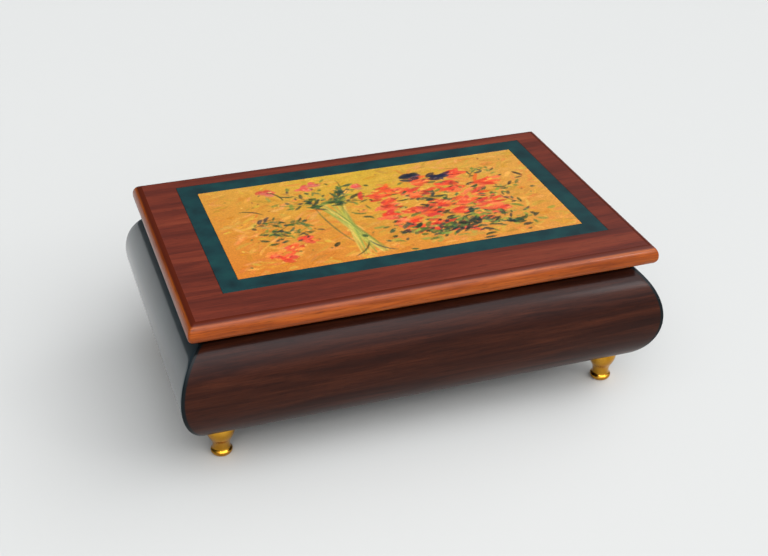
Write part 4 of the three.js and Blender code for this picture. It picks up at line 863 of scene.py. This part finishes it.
def moulding(along, across, turn):
    """A mitred lipping with a bullnose edge: its plan corners are slightly rounded by sanding."""
    section = [(0.0, lid_high.z)]
    for i in range(1, 19):
        angle = math.pi / 2 * (1 - i / 18)
        section.append((nose_reach * math.cos(angle), lid_high.z - nose_drop + nose_drop * math.sin(angle)))
    section.append((nose_reach, lid_low.z + undercut))
    for i in range(1, 13):
        angle = -math.pi / 2 * i / 12
        out = nose_reach - undercut + undercut * math.cos(angle)
        section.append((out, lid_low.z + undercut + undercut * math.sin(angle)))
    section.append((0.0, lid_low.z))
    soft = 1.3
    stations = stations_along(13)
    points = []
    for place, corner in stations:
        for out, z in section:
            radius = soft * out / nose_reach
            x = place * (along + out - radius + radius * math.sin(math.radians(corner)))
            points.append((x, -(across + out - radius + radius * math.cos(math.radians(corner))), z))
    shape = solid(points, sleeve(len(stations), len(section)))
    bmesh.ops.rotate(shape, verts=shape.verts, cent=(0, 0, 0), matrix=Matrix.Rotation(turn, 3, "Z"))
    bmesh.ops.translate(shape, verts=shape.verts, vec=(0, lid_y * MM, 0))
    return shape


def lipping(name, along):
    """Orange-brown wood under gloss lacquer, grained along an axis, its top painted dark: veneer edge and
    shade.
    """
    made, shader, grain = wood(
        name, [(0.25, "#742f06"), (0.5, "#8e400c"), (0.75, "#a65418")], along, band=3.0, fibre=0.5,
        pore_colour="#4e1e05", coat=0.4, sheen_of=0.1, body_gloss=0.05,
    )
    tree = made.node_tree
    where = add(tree, "TexCoord").node.outputs["Object"]
    height = add(tree, "SeparateXYZ", {0: where}).node.outputs["Z"]
    # Painted shade: the top millimetre is blended to dark red-brown, for the veneer's edge and for the dark
    # reflection on the arris.
    veneer_edge_and_painted_shade = add(tree, "MapRange", {
        "Value": height, "From Min": (lid_high.z - 1.0) * MM, "From Max": (lid_high.z - 0.55) * MM,
    })
    tree.links.new(blended(tree, veneer_edge_and_painted_shade, grain, linear("#501a08")), shader.inputs["Base Color"])
    return made


long_lipping = lipping("lipping_lengthways", "X")
cross_lipping = lipping("lipping_crossways", "Y")
for name, along, across, turn, finish in (
    ("front", flat_x, flat_y, 0, long_lipping),
    ("right", flat_y, flat_x, quarter, cross_lipping),
    ("rear", flat_x, flat_y, math.pi, long_lipping),
    ("left", flat_y, flat_x, -quarter, cross_lipping),
):
    fitted("lid_lipping_" + name, moulding(along, across, turn), finish, "lid", "lid_veneer", crease=50)

# Red-brown veneer under gloss lacquer: straight figure with a clear, nearly sharp reflection.
lid_veneer, _, _ = wood(
    "red_brown_veneer_gloss",
    [(0.25, "#48190f"), (0.45, "#602416"), (0.6, "#702c1a"), (0.8, "#7e3822")],
    "X", band=7.0, fibre=0.5, pore_colour="#3c160e", coat=0.9, sheen_of=0.1,
)
core = slab((-flat_x, lid_y - flat_y, lid_low.z), (flat_x, lid_y + flat_y, lid_high.z))
gap = 0.15
cutters = [slab(
    (border_low.x - gap, border_low.y - gap, lid_high.z - 1.0),
    (border_high.x + gap, border_high.y + gap, lid_high.z + 1),
)]
for side in ("left", "right"):
    low, high = span("hinge_" + side + "_lid_leaf")
    mortise_top = lid_low.z + 1.1
    cutters.append(slab((low.x - 0.3, low.y - 0.3, lid_low.z - 1), (high.x + 0.3, high.y + 0.3, mortise_top)))
fitted("veneered_lid_board", carved(core, *cutters), lid_veneer, "lid", "lid_veneer", "lid_board", flat=True)

# Teal-dyed veneer under the same gloss coat: dark blue-green, with the dye a little uneven.
teal, shader = material(
    "teal_dyed_veneer", Specular_IOR_Level=0.15, Roughness=0.35, Coat_Weight=0.8, Coat_Roughness=0.1,
)
clouded(shader, 9, [(0.3, "#0a272a"), (0.5, "#0d3436"), (0.7, "#113e3d")], 5.0)
softened("inlay_border", 0.06, teal, "border_lacquer")

# ---------------------------------------------------------------------------------------------------
# Picture. A painted panel under the lid's gloss coat, made of seeded strokes of thick colour: a sheaf
# of stems pinched at its middle, sprigs, red and dark blossoms and leaves on an ochre ground. The
# strokes are laid on a fine grid in millimetres, which colours the panel and raises the paint.
# ---------------------------------------------------------------------------------------------------

picture_low, picture_high = span("picture_panel")
cell = 0.36
columns = round((picture_high.x - picture_low.x) / cell) + 1
rows = round((picture_high.y - picture_low.y) / cell) + 1
wide, deep = picture_high.x - picture_low.x, picture_high.y - picture_low.y
canvas = np.zeros((rows, columns, 3))
relief = np.zeros((rows, columns))
hand = np.random.default_rng(41)


def pigment(colour):
    """A hex colour as red, green and blue from 0 to 1, still in sRGB."""
    return np.array([int(colour[i:i + 2], 16) / 255 for i in (1, 3, 5)])


def mixed(*colours):
    """One of some pigments, a little impure."""
    chosen = pigment(colours[hand.integers(len(colours))])
    return np.clip(chosen + hand.normal(0, 0.02, 3) + hand.normal(0, 0.02), 0, 1)


def stroke(x, y, angle, length, width, colour, bend=0.0, cover=0.85):
    """One stroke of a loaded brush, in millimetres from the picture's front left corner."""
    steps = max(5, int(length / 0.5))
    t = np.linspace(0, 1, steps)
    turn = angle + bend * (t - 0.5)
    line_x = x + np.cumsum(np.cos(turn)) * length / steps
    line_y = y + np.cumsum(np.sin(turn)) * length / steps
    left = max(int((line_x.min() - width) / cell), 0)
    right = min(int((line_x.max() + width) / cell) + 2, columns)
    front = max(int((line_y.min() - width) / cell), 0)
    back = min(int((line_y.max() + width) / cell) + 2, rows)
    if left >= right or front >= back:
        return
    grid_x, grid_y = np.meshgrid(np.arange(left, right) * cell, np.arange(front, back) * cell)
    away_x, away_y = grid_x[..., None] - line_x, grid_y[..., None] - line_y
    apart = np.hypot(away_x, away_y)
    nearest = apart.argmin(-1)
    apart = apart.min(-1)
    side = np.take_along_axis(away_y * np.cos(turn) - away_x * np.sin(turn), nearest[..., None], -1)[..., 0]
    half = width / 2 * np.sqrt(np.clip(4 * t * (1 - t) + 0.12, 0, 1))[nearest]
    bristles = hand.uniform(0.55, 1.0, 64)[np.clip((side / width * 30 + 32).astype(int), 0, 63)]
    paint = cover * np.clip((half - apart) / (1.2 * cell) + 0.5, 0, 1) * bristles
    area = (slice(front, back), slice(left, right))
    canvas[area] = canvas[area] * (1 - paint[..., None]) + colour * paint[..., None]
    relief[area] = relief[area] * (1 - paint) + (0.4 + 0.6 * bristles) * paint


def sprig(x, y, angle, length, leaves, colours):
    """A bent stalk with leaves on both sides."""
    bend = hand.uniform(-1, 1)
    stroke(x, y, angle, length, 0.5, mixed(*colours), bend, 0.8)
    for i in range(leaves):
        share = (i + 0.6) / leaves
        side = 1 if i % 2 else -1
        turn = angle + bend * (share - 0.5)
        place = (x + math.cos(turn) * length * share, y + math.sin(turn) * length * share)
        stroke(*place, turn + side * hand.uniform(0.5, 1.0), hand.uniform(2, 5), hand.uniform(0.9, 1.8),
               mixed(*colours), hand.uniform(-0.8, 0.8), 0.85)


def blossom(x, y, size, colours, heart):
    """A flower of broad, nearly level dabs, laid over each other, with a touch of another colour."""
    for _ in range(int(4 + size)):
        length = size * hand.uniform(0.5, 0.95)
        start_x = x + hand.normal(0, 0.25) * size - length / 2
        start_y = y + hand.normal(0, 0.16) * size
        stroke(start_x, start_y, hand.normal(0.1, 0.4), length, hand.uniform(1.5, 2.9), mixed(*colours),
               hand.uniform(-0.8, 0.8), 0.95)
    for _ in range(3):
        stroke(x + hand.normal(0, 0.2) * size, y + hand.normal(0, 0.12) * size, hand.normal(0, 0.5),
               size * 0.3, 1.0, mixed(*heart), 0, 0.9)


def scatter(count, centre, spread, lean, lengths, widths, colours, bend, cover):
    """Strokes strewn about a centre. Lean is their usual angle and how much it varies."""
    for _ in range(count):
        stroke(centre[0] + hand.normal(0, spread[0]), centre[1] + hand.normal(0, spread[1]),
               hand.normal(*lean), hand.uniform(*lengths), hand.uniform(*widths), mixed(*colours),
               hand.uniform(-bend, bend), cover)


corners = {  # ground colours: front left, front right, back left, back right
    (0, 0): "#cb7624", (1, 0): "#cf8a34", (0, 1): "#ca8c34", (1, 1): "#d0943c",
}
share_x = np.linspace(0, 1, columns)[None, :, None]
share_y = np.linspace(0, 1, rows)[:, None, None]
for (cx, cy), colour in corners.items():
    weight = (share_x if cx else 1 - share_x) * (share_y if cy else 1 - share_y)
    canvas += weight * pigment(colour)
olive = np.exp(-((share_x - 0.45) / 0.28) ** 2 - ((share_y - 0.95) / 0.5) ** 2) * 0.8
canvas = canvas * (1 - olive) + pigment("#c8a22c") * olive
for _ in range(1500):
    x, y = hand.uniform(0, wide), hand.uniform(0, deep)
    near = canvas[min(int(y / cell), rows - 1), min(int(x / cell), columns - 1)]
    tint = np.clip(near + hand.normal(0, 0.03, 3) + hand.normal(0, 0.035), 0, 1)
    if hand.random() < 0.42:
        tint = mixed("#e8ac50", "#cc7226", "#cfae3a", "#e49a58", "#a88228", "#dc7a38", "#b89a3a")
    stroke(x, y, hand.normal(0.2, 0.6), hand.uniform(3, 9), hand.uniform(0.9, 2.2), tint,
           hand.uniform(-0.8, 0.8), hand.uniform(0.35, 0.75))

greens = ("#3f5a28", "#56702e", "#2c4a28", "#7a8c3c", "#32543a")
darks = ("#1c3026", "#16241e", "#22342a", "#1e2c30")
reds = ("#dc4024", "#e85a2c", "#cc3524", "#ec7440", "#d84a30")
for _ in range(26):  # the sheaf of stems, pinched at its middle and flared at its foot
    foot = hand.uniform(-6, 6)
    head = -foot * hand.uniform(0.5, 1.2) - 6
    reach = math.hypot(head - foot, 46)
    stroke(57 + foot, 3, math.atan2(46, head - foot), reach, hand.uniform(0.6, 1.3),
           mixed("#9aa544", "#6a7c34", "#b4ac4c", "#58703a", "#d8c05a"), hand.uniform(-0.3, 0.3), 0.75)
for side in (-1, 1):
    stroke(57 + side * 9, 3, math.pi / 2 + side * 0.7, 14, 0.8, mixed(*darks), -side * 0.9, 0.85)
    stroke(54 + side * 2.6, 14, math.pi / 2 + 0.22, 34, 0.7, mixed(*greens), side * 0.3, 0.8)
# leaves at its neck
scatter(26, (46, 50), (7, 1.8), (0.1, 0.5), (3, 7), (1.0, 2.0), greens + darks, 1, 0.92)
for _ in range(14):
    sprig(50 + hand.uniform(-5, 5), 50 + hand.uniform(-3, 3), hand.uniform(-0.2, 3.3),
          hand.uniform(10, 22), 5, greens + darks)
for x, y in ((28, 67), (44, 66), (50, 69), (66, 62)):
    blossom(x, y, hand.uniform(4, 6), ("#cc4a3c", "#d8584a", "#c8685a"), ("#9c2c30", "#e89a70"))
for x, y, angle in ((33, 58, 2.0), (22, 48, 2.6), (74, 50, 0.1), (70, 44, 0.2)):
    stroke(x, y, angle, 11, 0.8, mixed(*darks), 0.9, 0.9)

for _ in range(10):  # the loose flowers at the front left
    sprig(hand.uniform(12, 32), hand.uniform(24, 44), hand.uniform(-0.6, 0.8), hand.uniform(6, 12), 5,
          greens + darks)
for x, y in ((18, 13), (27, 16), (23, 10), (33, 22)):
    blossom(x, y, hand.uniform(5, 7.5), reds + ("#e88a3a",), ("#9c2c20", "#e8a040"))
for _ in range(16):
    stroke(hand.uniform(14, 36), hand.uniform(20, 34), hand.normal(0.2, 0.5), hand.uniform(2, 4.5),
           hand.uniform(0.9, 1.7), mixed(*greens, *darks), hand.uniform(-1, 1), 0.9)

# the large bunch at the right, its leaves first
leaf_colours = greens + darks + ("#d9a93e", "#c8b040")
scatter(120, (96, 34), (15, 13), (0.1, 0.5), (3, 7), (1.0, 2.2), leaf_colours, 1.2, 0.88)
bunch = []
while len(bunch) < 23:
    angle, distance = hand.uniform(0, 2 * math.pi), math.sqrt(hand.random())
    x, y = 97 + 30 * distance * math.cos(angle), 37 + 26 * distance * math.sin(angle)
    if all(math.hypot((x - a) * 0.8, y - b) > 7.5 for a, b in bunch) or hand.random() < 0.01:
        bunch.append((x, y))
for x, y in bunch:
    blossom(x, y, hand.uniform(7.0, 10.5), reds, ("#a02c20", "#8a2420", "#f0b048", "#f08a50"))
low_leaves, high_leaves = greens + darks + ("#9a9c3c",), darks + greens + ("#e8b44a",)
scatter(150, (94, 14), (16, 5), (0.2, 0.6), (2.5, 6), (1.0, 2.3), low_leaves, 1.2, 0.92)
scatter(45, (97, 38), (18, 14), (0.2, 0.7), (2, 4.5), (0.8, 1.6), high_leaves, 1, 0.92)
for x, y in ((92, 63), (103, 60)):
    blossom(x, y, 8.0, ("#1a2034", "#242a42", "#161a2a"), ("#4a4a60", "#6a5a60"))
for x, y, angle in (
    (122, 17, 2.6), (130, 25, 2.2), (124, 40, 0.4), (116, 54, 0.8), (131, 13, 2.9), (118, 60, 0.2),
):
    sprig(x, y, angle, hand.uniform(8, 14), 6, greens + darks)
for _ in range(90):  # small touches everywhere, of every colour used
    stroke(hand.uniform(4, wide - 4), hand.uniform(4, deep - 4), hand.uniform(0, 3), hand.uniform(0.8, 2.4),
           hand.uniform(0.6, 1.1), mixed("#f0c060", "#e0c850", "#e89058", "#7a4a24", "#4a5828"), 0, 0.8)

high_x = np.linspace(picture_low.x, picture_high.x, columns)
high_y = np.linspace(picture_low.y, picture_high.y, rows)
paint_z = picture_high.z - 0.05 + 0.04 * relief
points = [(x, y, paint_z[r, c]) for r, y in enumerate(high_y) for c, x in enumerate(high_x)]
faces = [
    (r * columns + c, r * columns + c + 1, (r + 1) * columns + c + 1, (r + 1) * columns + c)
    for r in range(rows - 1) for c in range(columns - 1)
]
rim = list(range(columns)) + [r * columns + columns - 1 for r in range(1, rows)]
rim += [(rows - 1) * columns + c for c in reversed(range(columns - 1))]
rim += [r * columns for r in reversed(range(1, rows - 1))]
under = len(points)
points += [(points[i][0], points[i][1], picture_low.z) for i in rim]
faces += [(rim[(i + 1) % len(rim)], rim[i], under + i, under + (i + 1) % len(rim)) for i in range(len(rim))]
faces.append(tuple(under + i for i in reversed(range(len(rim)))))

# Oil paint under the gloss coat: the strokes' own colours, broken by a fine mottle.
painted, shader = material(
    "oil_on_panel", Specular_IOR_Level=0.15, Roughness=0.32, Coat_Weight=0.8, Coat_Roughness=0.1,
)
tree = painted.node_tree
colours = add(tree, "Attribute", attribute_name="pigment").node.outputs["Color"]
tree.links.new(varied(tree, colours, patches(tree, 0.7), 0.86, 1.14), shader.inputs["Base Color"])

shape = solid(points, faces)
picture = fitted("painted_picture", shape, painted, "lid", "painted_panel", "picture_panel")
spots = np.array([v.co for v in picture.data.vertices]) / MM
column = np.round((spots[:, 0] - picture_low.x) / (high_x[1] - high_x[0])).astype(int)
row = np.round((spots[:, 1] - picture_low.y) / (high_y[1] - high_y[0])).astype(int)
srgb = canvas[np.clip(row, 0, rows - 1), np.clip(column, 0, columns - 1)]
tints = np.ones((len(spots), 4), np.float32)
tints[:, :3] = np.where(srgb <= 0.04045, srgb / 12.92, ((srgb + 0.055) / 1.055) ** 2.4)
attribute = picture.data.color_attributes.new("pigment", "FLOAT_COLOR", "POINT")
attribute.data.foreach_set("color", tints.ravel())

# ---------------------------------------------------------------------------------------------------
# Lid lining and hinges. A velvet panel faces the lid's underside. Two brass butt hinges join the lid to
# the back of the rim, each with a steel pin. Three small brass screws hold each leaf, and those in the
# lid's leaves stand slightly proud, into the rim while the lid is closed.
# ---------------------------------------------------------------------------------------------------

softened("lid_lining", 0.3, velvet, "velvet")
for side in ("left", "right"):
    softened(f"hinge_{side}_case_leaf", 0.15, brass, "polished_brass")
    softened(f"hinge_{side}_lid_leaf", 0.15, brass, "polished_brass")
    spindle(f"hinge_{side}_pin", 0.8, "case")
    leaf_low, leaf_high = span(f"hinge_{side}_case_leaf")
    lid_leaf_y = span(f"hinge_{side}_lid_leaf")[0].y
    middle_x = (leaf_low.x + leaf_high.x) / 2
    for number, x in enumerate((middle_x - 8, middle_x, middle_x + 8), 1):
        screw = placed(screw_head(1.3, 0.12, 0.3), math.pi, "X", (x, lid_leaf_y + 4, lid_low.z))
        fitted(f"hinge_{side}_lid_screw_{number}", screw, brass, "lid", "polished_brass")
        screw = screw_head(0.65, 0.3, 0.2)
        placed(screw, -quarter, "X", (x, leaf_low.y + 0.8, leaf_low.z + 0.8))
        fitted(f"hinge_{side}_case_screw_{number}", screw, brass, "case", "polished_brass")
